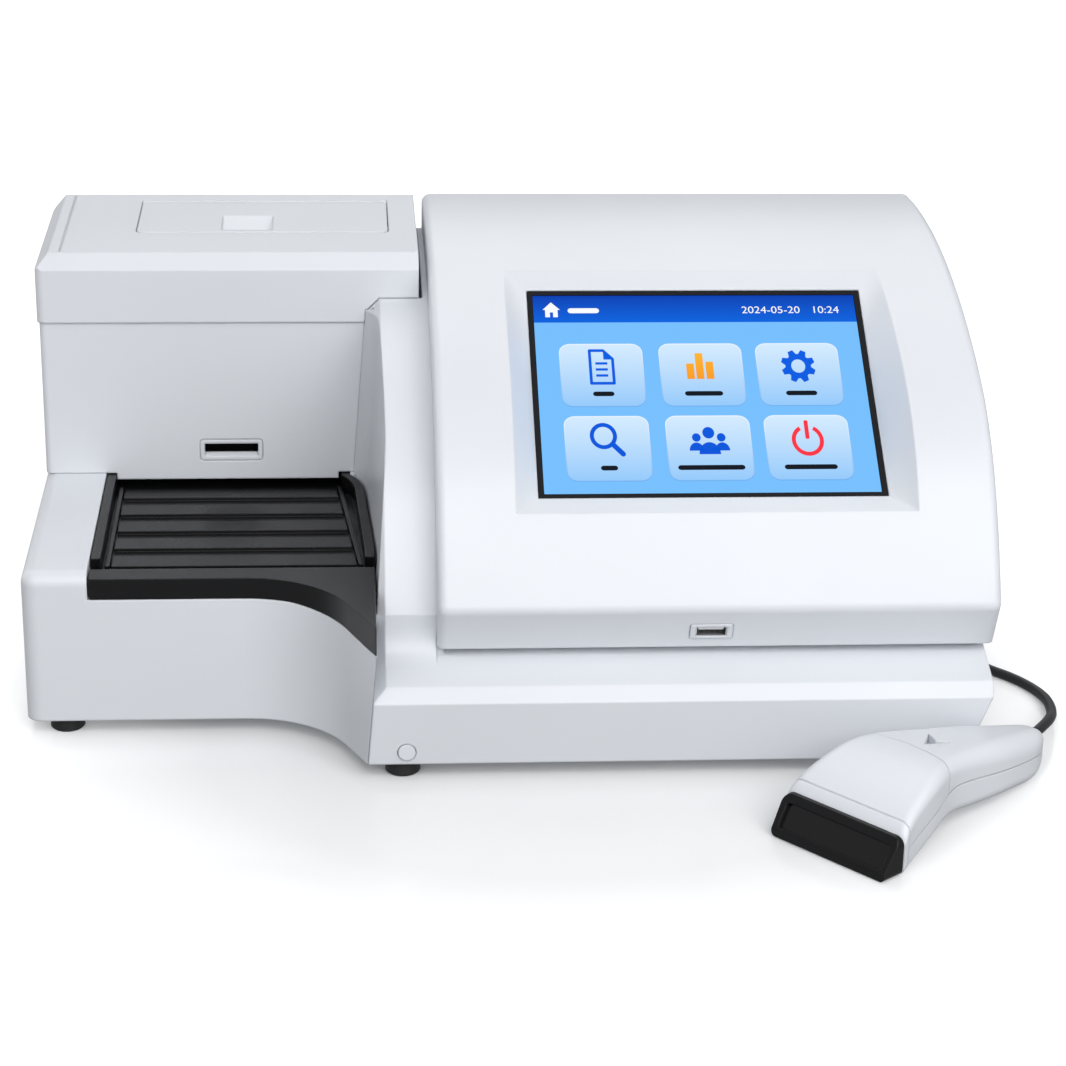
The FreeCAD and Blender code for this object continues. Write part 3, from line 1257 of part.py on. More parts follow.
# ---- scanner lead: plug behind the base, coil on the table, run along the right-hand side ----------
def scanner_plug():
    """Moulded plug in the rear socket, tapering to the lead."""
    tongue = block(scanPortX - plugHalf, scanPortX + plugHalf, baseRearY - 11.5, baseRearY + 2,
                   portZ - plugThick / 2, portZ + plugThick / 2)
    grip = prismY(rounded(scanPortX - 8, scanPortX + 8, portZ - 4.5, portZ + 4.5, 2.0),
                  baseRearY + 0.5, baseRearY + 14.5)
    sleeve = Part.makeCone(3.9, 2.7, plugLength - 14.5, Vector(scanPortX, baseRearY + 14.5, portZ), Vector(0, 1, 0))
    return tongue.fuse(grip).fuse(sleeve)


def coil():
    """Outer form of the wound length with its two straight ends."""
    half = coilAcross * cordRadius
    height = coilLayers * 2 * cordRadius
    section = Part.Face(outline([(coilMiddle - half, 0, 1.8), (coilMiddle + half, 0, 1.8),
                                 (coilMiddle + half, height, 1.8), (coilMiddle - half, height, 1.8)],
                                lambda u, v: Vector(coilX + u, coilY, v)))
    ring = section.revolve(Vector(coilX, coilY, 0), Vector(0, 0, 1), 360)
    turn = coilMiddle + half - cordRadius
    for y, z in ((coilY - turn, cordRadius), (coilY + turn, height - cordRadius)):
        ring = ring.fuse(rod(cordRadius, coilStub, coilX, y, z, 1, 0, 0))
    return ring


def reliefEnd():
    c, s = slope(reliefHeading)
    return scannerPoint(*reliefFrom) + Vector(c, s, 0) * reliefLength


def leadRoutes():
    """Points of the two stretches: scanner to coil and coil to plug."""
    turn = coilMiddle + coilAcross * cordRadius - cordRadius
    low = cordRadius
    high = (2 * coilLayers - 1) * cordRadius
    faceX = coilX + coilStub
    side = [reliefEnd(), reliefEnd() + Vector(*slope(reliefHeading), 0) * 14.0, Vector(243.0, -85.0, 5.0), Vector(245.0, -64.0, low),
            Vector(236.5, -46.0, low), Vector(222.5, -32.0, low), Vector(213.0, -12.0, low),
            Vector(211.3, 20.0, low), Vector(213.0, 64.0, low), Vector(211.2, 104.0, low),
            Vector(212.0, 138.0, low), Vector(197.0, 157.0, low), Vector(170.0, 158.0, low),
            Vector(142.0, coilY - turn, low), Vector(faceX, coilY - turn, low)]
    rear = [Vector(scanPortX, baseRearY + plugLength, portZ), Vector(scanPortX, 167.0, portZ),
            Vector(151.0, 182.0, 17.0), Vector(148.0, 200.0, 8.5), Vector(133.0, coilY + turn, high),
            Vector(faceX, coilY + turn, high)]
    return side, rear


def lead_tube(points):
    """Tube along straight runs that tangent arcs join."""
    edges = []
    at = points[0]
    radii = []
    for before, corner, after in zip(points, points[1:], points[2:]):
        inward = (corner - before).normalize()
        outward = (after - corner).normalize()
        half = inward.getAngle(outward) / 2
        cut = 0.45 * min((corner - before).Length, (after - corner).Length)
        radius = cut / math.tan(half)
        radii.append(round(radius, 1))
        start = corner - inward * cut
        stop = corner + outward * cut
        centreWay = (outward - inward).normalize()
        middle = corner + centreWay * (radius / math.cos(half) - radius)
        edges.append(Part.makeLine(at, start))
        edges.append(Part.Arc(start, middle, stop).toShape())
        at = stop
    edges.append(Part.makeLine(at, points[-1]))
    path = Part.Wire(edges)
    first = (points[1] - points[0]).normalize()
    section = Part.Wire([Part.makeCircle(cordRadius, points[0], first)])
    tube = path.makePipeShell([section], True, False, 2)
    print("lead arcs", radii, "length", round(path.Length, 1),
          "volume against section x length", round(tube.Volume / (math.pi * cordRadius ** 2 * path.Length), 4))
    return tube


# ---- the set ------------------------------------------------------------------------------------
sideRoute, rearRoute = leadRoutes()
scannerPieces = {
    "scanner_head_shell": scanner_head_shell, "scanner_collar": scanner_collar,
    "scanner_handle_shell": scanner_handle_shell, "scanner_lower_shell": scanner_lower_shell,
    "scanner_trigger": scanner_trigger, "scanner_nose": scanner_nose, "scanner_window": scanner_window,
}
analyzerPieces = {
    "front_panel": front_panel, "main_base": main_base, "left_base": left_base,
    "strip_tray": strip_tray, "tower_body": tower_body, "slot_frame": slot_frame, "slot_liner": slot_liner,
    "tower_lid": tower_lid,
    "printer_cover": printer_cover, "cover_hinge_pin": cover_hinge_pin, "platen_roller": platen_roller,
    "paper_bay": paper_bay, "paper_spindle": paper_spindle, "paper_roll": paper_roll,
    "thermal_head": thermal_head, "tear_bar": tear_bar, "display_ring": display_ring,
    "touch_glass": touch_glass, "display_module": display_module, "usb_bezel": usb_bezel,
    "usb_port": usb_port, "usb_tongue": usb_tongue, "front_plug": front_plug, "main_bottom_plate": main_bottom_plate,
    "left_bottom_plate": left_bottom_plate, "rubber_feet": rubber_feet, "foot_screws": foot_screws,
    "reader_frame": reader_frame, "guide_rods": guide_rods, "reader_carriage": reader_carriage,
    "sensor_window": sensor_window, "lead_screw": lead_screw, "stepper_motor": stepper_motor,
    "main_board": main_board, "power_switch": power_switch, "power_rocker": power_rocker,
    "power_inlet": power_inlet, "serial_port": serial_port, "scanner_socket": scanner_socket,
}


def makeSet():
    shapes = {name: make() for name, make in analyzerPieces.items()}
    shapes.update({name: placeScanner(make()) for name, make in scannerPieces.items()})
    box = Part.makeCompound(list(shapes.values())).optimalBoundingBox(False)
    shift = Vector(-box.Center.x, -box.Center.y, 0)
    shapes["scanner_strain_relief"] = scanner_strain_relief()
    shapes["scanner_lead"] = lead_tube(sideRoute)
    shapes["scanner_lead_end"] = lead_tube(rearRoute)
    shapes["lead_coil"] = coil()
    shapes["scanner_plug"] = scanner_plug()
    for shape in shapes.values():
        shape.translate(shift)
    print("shift", [round(v, 3) for v in shift], "size", [round(v, 1) for v in (box.XLength, box.YLength, box.ZMax)])
    return shapes, shift


if __name__ == "__main__":
    nodes, shift = makeSet()
    for name, shape in nodes.items():
        shape.exportStep("parts/" + name + ".step")
    print(len(nodes), "pieces")
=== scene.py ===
import json
import math

import bmesh
import bpy
from mathutils import Matrix, Vector


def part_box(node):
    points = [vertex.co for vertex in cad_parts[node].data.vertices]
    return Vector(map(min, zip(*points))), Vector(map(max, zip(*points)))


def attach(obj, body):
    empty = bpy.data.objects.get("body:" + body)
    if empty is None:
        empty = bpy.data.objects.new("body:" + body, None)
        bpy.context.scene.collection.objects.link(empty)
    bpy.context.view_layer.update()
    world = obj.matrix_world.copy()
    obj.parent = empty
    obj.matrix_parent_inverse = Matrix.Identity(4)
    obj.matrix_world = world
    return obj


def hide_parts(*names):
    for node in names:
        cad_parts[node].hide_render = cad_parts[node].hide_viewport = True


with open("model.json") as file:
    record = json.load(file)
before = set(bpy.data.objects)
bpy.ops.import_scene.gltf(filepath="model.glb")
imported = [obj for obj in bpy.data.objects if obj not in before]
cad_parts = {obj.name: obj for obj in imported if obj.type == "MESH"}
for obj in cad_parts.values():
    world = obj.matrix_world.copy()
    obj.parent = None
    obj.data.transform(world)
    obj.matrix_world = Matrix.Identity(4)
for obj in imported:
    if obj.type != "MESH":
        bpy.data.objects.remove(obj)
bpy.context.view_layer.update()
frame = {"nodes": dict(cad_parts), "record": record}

nodes = frame["nodes"]
print("frame loaded:", len(nodes), "pieces")

# The analyzer is laid out in millimetres about its own centre line, as its drawings are.
# panelRight and baseFront are the two faces that tie that layout to the frame.
layout = {"panelRight": 207.3, "baseFront": -134.0}
centre = Vector((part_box("front_panel")[1].x - layout["panelRight"] / 1000,
                 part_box("main_base")[0].y - layout["baseFront"] / 1000, 0))


def at(x, y, z):
    return centre + Vector((x, y, z)) / 1000


def addObject(name, data):
    thing = bpy.data.objects.new(name, data)
    bpy.context.scene.collection.objects.link(thing)
    return thing


def meshFrom(name, shape):
    mesh = bpy.data.meshes.new(name)
    shape.to_mesh(mesh)
    shape.free()
    return mesh


# Plain mesh of an object as it looks with its modifiers
def finalMesh(thing):
    bpy.context.view_layer.update()
    return bpy.data.meshes.new_from_object(thing.evaluated_get(bpy.context.evaluated_depsgraph_get()))


camera = {"focal": 95.86, "sensor": 36.0, "distance": 1301.6, "pitch": 22.3, "yaw": 4.14, "roll": 1.11,
          "target": (16.76, 0.0, 57.64), "farthest": 20.0}


def addCamera():
    pitch, yaw, roll = (math.radians(camera[k]) for k in ("pitch", "yaw", "roll"))
    back = Vector((-math.sin(yaw) * math.cos(pitch), -math.cos(yaw) * math.cos(pitch), math.sin(pitch)))
    right = (-back).cross(Vector((0, 0, 1))).normalized()
    up = back.cross(right)
    turned = right * math.cos(roll) + up * math.sin(roll)
    upright = up * math.cos(roll) - right * math.sin(roll)
    place = at(*camera["target"]) + back * camera["distance"] / 1000
    data = bpy.data.cameras.new("viewCamera")
    data.sensor_width = camera["sensor"]
    data.lens = camera["focal"]
    data.clip_end = camera["farthest"]
    thing = addObject("viewCamera", data)
    thing.matrix_world = Matrix.Translation(place) @ Matrix((turned, upright, back)).transposed().to_4x4()
    bpy.context.scene.camera = thing


addCamera()
print("camera set")


# Noise mostly lies between low and high, and that span is stretched over the values it drives
noiseSpan = {"low": 0.3, "high": 0.7, "detail": 3.0}
plastic = {"cloudScale": 9.0, "glossScale": 60.0, "glossSwing": 0.03, "grainDetail": 2.0,
           "grainDepth": 0.0001, "edgeSamples": 6}
brushed = {"stretch": (1, 60, 60), "scale": 60.0, "glossSwing": 0.08}
litPanel = {"base": (0.002, 0.002, 0.003), "shine": 0.05, "roughness": 0.6}
glass = {"base": (0.02, 0.03, 0.04), "alpha": 0.06, "smearScale": 14.0, "gloss": (0.05, 0.12)}


def startMaterial(name):
    material = bpy.data.materials.new(name)
    material.use_nodes = True
    tree = material.node_tree
    coords = tree.nodes.new("ShaderNodeTexCoord").outputs["Object"]
    return material, tree, tree.nodes["Principled BSDF"], coords


def noiseNode(tree, coords, scale, detail=noiseSpan["detail"]):
    noise = tree.nodes.new("ShaderNodeTexNoise")
    noise.inputs["Scale"].default_value = scale
    noise.inputs["Detail"].default_value = detail
    tree.links.new(coords, noise.inputs["Vector"])
    return noise.outputs["Fac"]


def spread(tree, noise, low, high):
    reach = tree.nodes.new("ShaderNodeMapRange")
    reach.inputs["From Min"].default_value = noiseSpan["low"]
    reach.inputs["From Max"].default_value = noiseSpan["high"]
    reach.inputs["To Min"].default_value = low
    reach.inputs["To Max"].default_value = high
    tree.links.new(noise, reach.inputs["Value"])
    return reach.outputs["Result"]


# Moulded plastic: faint cloudiness in the colour, spark-eroded grain in the surface
def moulded(name, colour, tint, roughness, grain, grainScale=2600, shine=0.5, edge=0.0):
    material, tree, shader, coords = startMaterial(name)
    cloud = noiseNode(tree, coords, plastic["cloudScale"])
    ramp = tree.nodes.new("ShaderNodeValToRGB")
    ramp.color_ramp.elements[0].position = noiseSpan["low"]
    ramp.color_ramp.elements[0].color = (*[c * (1 - tint) for c in colour], 1)
    ramp.color_ramp.elements[1].position = noiseSpan["high"]
    ramp.color_ramp.elements[1].color = (*colour, 1)
    tree.links.new(cloud, ramp.inputs["Fac"])
    tree.links.new(ramp.outputs["Color"], shader.inputs["Base Color"])
    fine = noiseNode(tree, coords, grainScale, plastic["grainDetail"])
    gloss = spread(tree, noiseNode(tree, coords, plastic["glossScale"]), roughness - plastic["glossSwing"],
                   roughness + plastic["glossSwing"])
    tree.links.new(gloss, shader.inputs["Roughness"])
    bump = tree.nodes.new("ShaderNodeBump")
    bump.inputs["Strength"].default_value = grain
    bump.inputs["Distance"].default_value = plastic["grainDepth"]
    tree.links.new(fine, bump.inputs["Height"])
    if edge:
        broken = tree.nodes.new("ShaderNodeBevel")
        broken.samples = plastic["edgeSamples"]
        broken.inputs["Radius"].default_value = edge
        tree.links.new(broken.outputs["Normal"], bump.inputs["Normal"])
    tree.links.new(bump.outputs["Normal"], shader.inputs["Normal"])
    shader.inputs["Specular IOR Level"].default_value = shine
    return material


def metal(name, colour, roughness):
    material, tree, shader, coords = startMaterial(name)
    stretch = tree.nodes.new("ShaderNodeMapping")
    stretch.inputs["Scale"].default_value = brushed["stretch"]
    tree.links.new(coords, stretch.inputs["Vector"])
    noise = noiseNode(tree, stretch.outputs["Vector"], brushed["scale"])
    gloss = spread(tree, noise, roughness - brushed["glossSwing"], roughness + brushed["glossSwing"])
    tree.links.new(gloss, shader.inputs["Roughness"])
    shader.inputs["Base Color"].default_value = (*colour, 1)
    shader.inputs["Metallic"].default_value = 1.0
    return material


# Lit display colour that runs from low to high between two heights
def glowing(name, low, high, bottom, top):
    material, tree, shader, coords = startMaterial(name)
    split = tree.nodes.new("ShaderNodeSeparateXYZ")
    tree.links.new(coords, split.inputs["Vector"])
    reach = tree.nodes.new("ShaderNodeMapRange")
    reach.inputs["From Min"].default_value = bottom
    reach.inputs["From Max"].default_value = top
    tree.links.new(split.outputs["Z"], reach.inputs["Value"])
    ramp = tree.nodes.new("ShaderNodeValToRGB")
    ramp.color_ramp.elements[0].color = (*low, 1)
    ramp.color_ramp.elements[1].color = (*high, 1)
    tree.links.new(reach.outputs["Result"], ramp.inputs["Fac"])
    tree.links.new(ramp.outputs["Color"], shader.inputs["Emission Color"])
    shader.inputs["Base Color"].default_value = (*litPanel["base"], 1)
    shader.inputs["Specular IOR Level"].default_value = litPanel["shine"]
    shader.inputs["Emission Strength"].default_value = 1.0
    shader.inputs["Roughness"].default_value = litPanel["roughness"]
    return material


def clearGlass():
    material, tree, shader, coords = startMaterial("touchGlass")
    shader.inputs["Base Color"].default_value = (*glass["base"], 1)
    shader.inputs["Alpha"].default_value = glass["alpha"]
    gloss = spread(tree, noiseNode(tree, coords, glass["smearScale"]), *glass["gloss"])
    tree.links.new(gloss, shader.inputs["Roughness"])
    return material


finishes = {
    "housing": moulded("paleHousing", (0.72, 0.745, 0.785), tint=0.03, roughness=0.33, grain=0.12,
                       edge=0.0012),
    "tray_black": moulded("trayBlack", (0.006, 0.006, 0.0068), tint=0.2, roughness=0.3, grain=0.25,
                          grainScale=1800, shine=0.32, edge=0.0007),
    "dark_plastic": moulded("insideBlack", (0.007, 0.007, 0.0076), tint=0.2, roughness=0.34, grain=0.2,
                            shine=0.35, edge=0.0008),
    "display_ring": moulded("ringBlack", (0.006, 0.006, 0.008), tint=0.1, roughness=0.15, grain=0.02),
    "scan_window": moulded("windowBlack", (0.003, 0.0028, 0.0034), tint=0.1, roughness=0.07, grain=0.0,
                           shine=0.6),
    "contact_white": moulded("tongueWhite", (0.78, 0.79, 0.8), tint=0.03, roughness=0.35, grain=0.1),
    "bottom_plate": moulded("plateGrey", (0.5, 0.52, 0.54), tint=0.04, roughness=0.45, grain=0.2),
    "rubber": moulded("footRubber", (0.012, 0.012, 0.012), tint=0.3, roughness=0.6, grain=0.3,
                      grainScale=900),
    "cord": moulded("leadJacket", (0.014, 0.014, 0.016), tint=0.2, roughness=0.42, grain=0.12,
                    grainScale=1500),
    "paper": moulded("rollPaper", (0.82, 0.82, 0.8), tint=0.05, roughness=0.85, grain=0.3, grainScale=700),
    "spindle": moulded("spindleGrey", (0.3, 0.31, 0.32), tint=0.05, roughness=0.4, grain=0.1),
    "board": moulded("boardGreen", (0.012, 0.09, 0.035), tint=0.25, roughness=0.3, grain=0.1, grainScale=300),
    "motor": moulded("motorBlack", (0.02, 0.02, 0.02), tint=0.2, roughness=0.4, grain=0.2),
    "steel": metal("plainSteel", (0.55, 0.55, 0.57), roughness=0.32),
    "gilt": metal("contactGilt", (0.83, 0.62, 0.28), roughness=0.3),
    "print_head": metal("headAluminium", (0.6, 0.61, 0.62), roughness=0.4),
    "display": moulded("moduleBlack", (0.012, 0.012, 0.014), tint=0.1, roughness=0.4, grain=0.05),
    "screen_glass": clearGlass(),
}

for part in frame["record"]["subparts"]:
    slot = part["material_slot"] if isinstance(part["material_slot"], str) else part["material_slot"][0]
    for place in nodes[part["node"]].material_slots:
        place.material = finishes[slot]
print("finishes on", len(nodes), "pieces")


lead = {"diameter": 4.6, "start": (227.06, -118.4, 11.5), "end": (150.0, 154.6, 24.0),
        "coilCentre": (97.0, 184.0), "middle": 23.0, "across": 4, "turns": 7.5, "pointsPerTurn": 24,
        "straightEnd": 18.0, "climbFrom": 0.8, "squeeze": 0.38}
leadOut = [(235.68, -107.37, 11.5), (243.0, -85.0, 5.0), (245.0, -64.0, 2.3), (236.5, -46.0, 2.3),
           (222.5, -32.0, 2.3), (213.0, -12.0, 2.3), (211.3, 20.0, 2.3), (213.0, 64.0, 2.3),
           (211.2, 104.0, 2.3), (212.0, 138.0, 2.3), (197.0, 157.0, 2.3), (170.0, 158.0, 2.3),
           (142.0, 154.1, 2.3)]
leadBack = [(133.0, 213.9, 6.9), (148.0, 200.0, 8.5), (151.0, 182.0, 17.0), (150.0, 167.0, 24.0)]
leadOuter = lead["middle"] + (lead["across"] - 1) * lead["diameter"] / 2


# Turns side by side in two layers; all step inwards, climb and step back out in one sector
def coilPoints():
    points = []
    pitch = lead["diameter"]
    lastTurn = 2 * lead["across"] - 1
    climbTurn = lead["across"] - 1
    for i in range(int(lead["turns"] * lead["pointsPerTurn"]) + 1):
        turn = i / lead["pointsPerTurn"]
        whole = min(int(turn), lastTurn)
        share = max(0.0, (turn - whole - lead["climbFrom"]) / (1 - lead["climbFrom"]))
        radii = [leadOuter - pitch * min(k, lastTurn - k) for k in (whole, min(whole + 1, lastTurn))]
        radius = radii[0] + (radii[1] - radii[0]) * share
        layer = 0.0 if whole < climbTurn else 1.0
        if whole == climbTurn:
            layer = share
            radius -= lead["squeeze"] * pitch * math.sin(math.pi * share)
        angle = -math.pi / 2 - turn * 2 * math.pi
        x, y = lead["coilCentre"]
        points.append((x + radius * math.cos(angle), y + radius * math.sin(angle), pitch / 2 + layer * pitch))
    return points


def addLead():
    start = lead["start"]
    x, y = lead["coilCentre"]
    reach = x + lead["straightEnd"]
    coilIn = (reach, y - leadOuter, lead["diameter"] / 2)
    coilOut = (reach, y + leadOuter, lead["diameter"] * 1.5)
    route = [start, *leadOut, coilIn, *coilPoints(), coilOut, *leadBack, lead["end"]]
    curve = bpy.data.curves.new("scannerLead", "CURVE")
    curve.dimensions = "3D"
    spline = curve.splines.new("NURBS")
    spline.points.add(len(route) - 1)
    for point, place in zip(spline.points, route):
        point.co = (*at(*place), 1)
    spline.order_u = 3
    spline.use_endpoint_u = True
    spline.resolution_u = 8
    curve.bevel_depth = lead["diameter"] / 2000
    curve.bevel_resolution = 5
    curve.use_fill_caps = True
    curve.materials.append(finishes["cord"])
    thing = addObject("scannerLead", curve)
    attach(thing, "analyzer")
    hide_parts("scanner_lead", "scanner_lead_end", "lead_coil")


addLead()
print("scanner lead laid")


picture = {"centre": (87.45, -37.85, 139.75), "tilt": 31.6, "depth": 0.78, "layer": 0.05,
           "width": 144.6, "height": 110.8, "headerHeight": 15.6, "tileWidth": 36.0, "tileHeight": 34.6,
           "tileRound": 4.5, "tileRim": (0.9, 1.1, 0.5), "columns": (-43.7, 0.3, 43.3), "rows": (9.6, -31.1),
           "iconLift": 4.6, "iconTall": 1.22, "labelDrop": 10.6, "labelTall": 2.6, "home": (-64.3, 46.9),
           "title": (-50.0, 46.6, 14.0, 2.9), "date": (20.9, 44.9), "time": (52.4, 44.9), "numeralSize": 5.7}
pale, paler = (0.30, 0.59, 0.965), (0.66, 0.83, 0.985)
rim, rimTop = (0.17, 0.44, 0.86), (0.85, 0.93, 1.0)
# For each colour: its layer, its tones at the bottom and at the top, and the span that they run over
paints = {"ground": (0, (0.187, 0.53, 0.99), (0.18, 0.515, 0.985), "all"),
          "header": (1, (0.0, 0.125, 0.74), (0.0, 0.05, 0.45), "header"),
          "upperEdge": (1.5, rim, rimTop, "upper"), "lowerEdge": (1.5, rim, rimTop, "lower"),
          "upper": (2.5, pale, paler, "upper"), "lower": (2.5, pale, paler, "lower"),
          "white": (3, (0.95, 0.97, 1.0), (0.95, 0.97, 1.0), "all"),
          "blue": (4, (0.0, 0.085, 0.68), (0.0, 0.12, 0.82), "all"),
          "orange": (4, (0.93, 0.20, 0.006), (1.0, 0.50, 0.03), "upper"),
          "red": (4, (0.97, 0.035, 0.055), (0.97, 0.035, 0.055), "all"),
          "label": (4, (0.003, 0.006, 0.012), (0.003, 0.006, 0.012), "all")}
pictureParts = {}
pen = {"at": (0.0, 0.0), "tall": 1.0}


def onPicture(u, v, layer=0):
    tilt = math.radians(picture["tilt"])
    x, y, z = picture["centre"]
    n = -picture["depth"] + layer * picture["layer"]
    return at(x + u, y + v * math.cos(tilt) - n * math.sin(tilt), z + v * math.sin(tilt) + n * math.cos(tilt))


# Flat outline on the display, gathered by colour into one piece each
def addFace(key, points):
    shape = pictureParts.setdefault(key, bmesh.new())
    u0, v0 = pen["at"]
    shape.faces.new([shape.verts.new(onPicture(u0 + u, v0 + v * pen["tall"], paints[key][0]))
                     for u, v in points])


def flatBox(left, low, right, high):
    return [(left, low), (right, low), (right, high), (left, high)]


def roundedBox(u, v, width, height, radius, steps=6):
    points = []
    for cu, cv, first in ((1, -1, -90), (1, 1, 0), (-1, 1, 90), (-1, -1, 180)):
        for i in range(steps + 1):
            angle = math.radians(first + 90 * i / steps)
            points.append((u + cu * (width / 2 - radius) + radius * math.cos(angle),
                           v + cv * (height / 2 - radius) + radius * math.sin(angle)))
    return points


def disc(u, v, radius, steps):
    return [(u + radius * math.cos(2 * math.pi * i / steps), v + radius * math.sin(2 * math.pi * i / steps))
            for i in range(steps)]


# Part of a ring, from one angle to another
def band(key, u, v, inner, outer, first, last):
    steps = 40
    for i in range(steps):
        a, b = (math.radians(first + (last - first) * k / steps) for k in (i, i + 1))
        addFace(key, [(u + r * math.cos(t), v + r * math.sin(t))
                      for r, t in ((inner, a), (outer, a), (outer, b), (inner, b))])


def stroke(key, start, end, width):
    along = Vector((end[0] - start[0], end[1] - start[1])).normalized()
    side = Vector((-along.y, along.x)) * width / 2
    addFace(key, [(start[0] - side.x, start[1] - side.y), (end[0] - side.x, end[1] - side.y),
                  (end[0] + side.x, end[1] + side.y), (start[0] + side.x, start[1] + side.y)])


# Numerals in the built-in typeface, laid on the display
def write(key, text, u, v):
    curve = bpy.data.curves.new("numerals", "FONT")
    curve.body = text
    thing = addObject("numerals", curve)
    mesh = finalMesh(thing)
    size = picture["numeralSize"]
    for vertex in mesh.vertices:
        vertex.co = onPicture(u + vertex.co.x * size, v + vertex.co.y * size, paints[key][0])
    pictureParts.setdefault(key, bmesh.new()).from_mesh(mesh)
    bpy.data.meshes.remove(mesh)
    bpy.data.objects.remove(thing)
    bpy.data.curves.remove(curve)


def documentIcon():
    outline = [(-5.0, -7.6), (5.0, -7.6), (5.0, 3.6), (1.0, 7.6), (-5.0, 7.6)]
    for start, end in zip(outline, outline[1:] + outline[:1]):
        stroke("blue", start, end, 1.3)
    for corner in outline:
        addFace("blue", disc(*corner, 0.65, 12))
    addFace("blue", [(1.0, 7.4), (1.0, 3.4), (5.0, 3.4)])
    for v in (1.6, -1.2, -4.0):
        stroke("blue", (-2.7, v), (2.6, v), 1.1)


def barsIcon():
    for u, height in ((-5.0, 7.2), (-0.8, 12.0), (3.6, 8.0)):
        addFace("orange", roundedBox(u, -5.8 + height / 2, 3.4, height, 0.3, 3))


def gearIcon():
    teeth = 8
    band("blue", 0, 0, 3.1, 5.7, 0, 360)
    for i in range(teeth):
        a = 2 * math.pi * (i + 0.5) / teeth
        c, s = math.cos(a), math.sin(a)
        corners = [(5.4, -1.75), (7.6, -1.15), (7.6, 1.15), (5.4, 1.75)]
        addFace("blue", [(r * c - t * s, r * s + t * c) for r, t in corners])


def magnifierIcon():
    band("blue", -1.6, 1.8, 4.1, 5.9, 0, 360)
    stroke("blue", (2.3, -2.0), (6.4, -6.3), 2.3)
    addFace("blue", disc(6.4, -6.3, 1.15, 14))


def peopleIcon():
    for u, v, head in ((-5.4, 0.9, 1.9), (5.4, 0.9, 1.9), (0.0, 3.0, 2.6)):
        addFace("blue", disc(u, v, head, 24))
    for u, wide, low in ((-5.6, 3.2, -5.0), (5.6, 3.2, -5.0), (0.0, 4.7, -6.6)):
        tall = wide * 1.15
        angles = [math.radians(a) for a in range(0, 181, 15)]
        addFace("blue", [(u + wide * math.cos(a), low + tall * math.sin(a)) for a in angles])


def powerIcon():
    band("red", 0, -0.6, 5.2, 7.0, 118, 422)
    addFace("red", roundedBox(0, 4.2, 1.8, 8.4, 0.6, 3))


def houseIcon():
    addFace("white", [(-3.9, 0.2), (3.9, 0.2), (0, 3.8)])
    for u in (-1.75, 1.75):
        addFace("white", flatBox(u - 1.05, -3.3, u + 1.05, 0.2))
    addFace("white", flatBox(-0.7, -1.0, 0.7, 0.2))


def drawIcon(icon, u, v):
    pen["at"] = (u, v)
    pen["tall"] = picture["iconTall"]
    icon()
    pen["at"] = (0.0, 0.0)
    pen["tall"] = 1.0


def addPicture():
    width, top = picture["width"], picture["height"] / 2
    headerLow = top - picture["headerHeight"]
    tileWidth, tileHeight, tileRound = picture["tileWidth"], picture["tileHeight"], picture["tileRound"]
    rimWidth, rimHeight, rimRound = picture["tileRim"]
    addFace("ground", flatBox(-width / 2, -top, width / 2, top))
    addFace("header", flatBox(-width / 2, headerLow, width / 2, top))
    drawIcon(houseIcon, *picture["home"])
    addFace("white", roundedBox(*picture["title"], 1.4))
    write("white", "2024-05-20", *picture["date"])
    write("white", "10:24", *picture["time"])
    icons = ((documentIcon, barsIcon, gearIcon), (magnifierIcon, peopleIcon, powerIcon))
    labels = ((9.4, 16.8, 13.8), (7.4, 29.0, 23.0))
    for row, v, rowIcons, rowLabels in zip(("upper", "lower"), picture["rows"], icons, labels):
        for u, icon, label in zip(picture["columns"], rowIcons, rowLabels):
            addFace(row + "Edge", roundedBox(u, v, tileWidth + rimWidth, tileHeight + rimHeight,
                                             tileRound + rimRound))
            addFace(row, roundedBox(u, v, tileWidth, tileHeight, tileRound))
            drawIcon(icon, u, v + picture["iconLift"])
            addFace("label", roundedBox(u, v - picture["labelDrop"], label, picture["labelTall"],
                                        picture["labelTall"] / 2, 4))
    ends = {"all": (-top, top), "header": (headerLow, top)}
    for row, v in zip(("upper", "lower"), picture["rows"]):
        ends[row] = (v - tileHeight / 2, v + tileHeight / 2)
    for key, shape in pictureParts.items():
        low, high, reach = paints[key][1:]
        name = "picture" + key[0].upper() + key[1:]
        bottomZ, topZ = (onPicture(0, v).z for v in ends[reach])
        bmesh.ops.recalc_face_normals(shape, faces=shape.faces)
        for face in shape.faces:
            if face.normal.z < 0:
                face.normal_flip()
        mesh = meshFrom(name, shape)
        mesh.materials.append(glowing(name, low, high, bottomZ, topZ))
        thing = addObject(name, mesh)
        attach(thing, "analyzer")


addPicture()
print("display picture drawn")


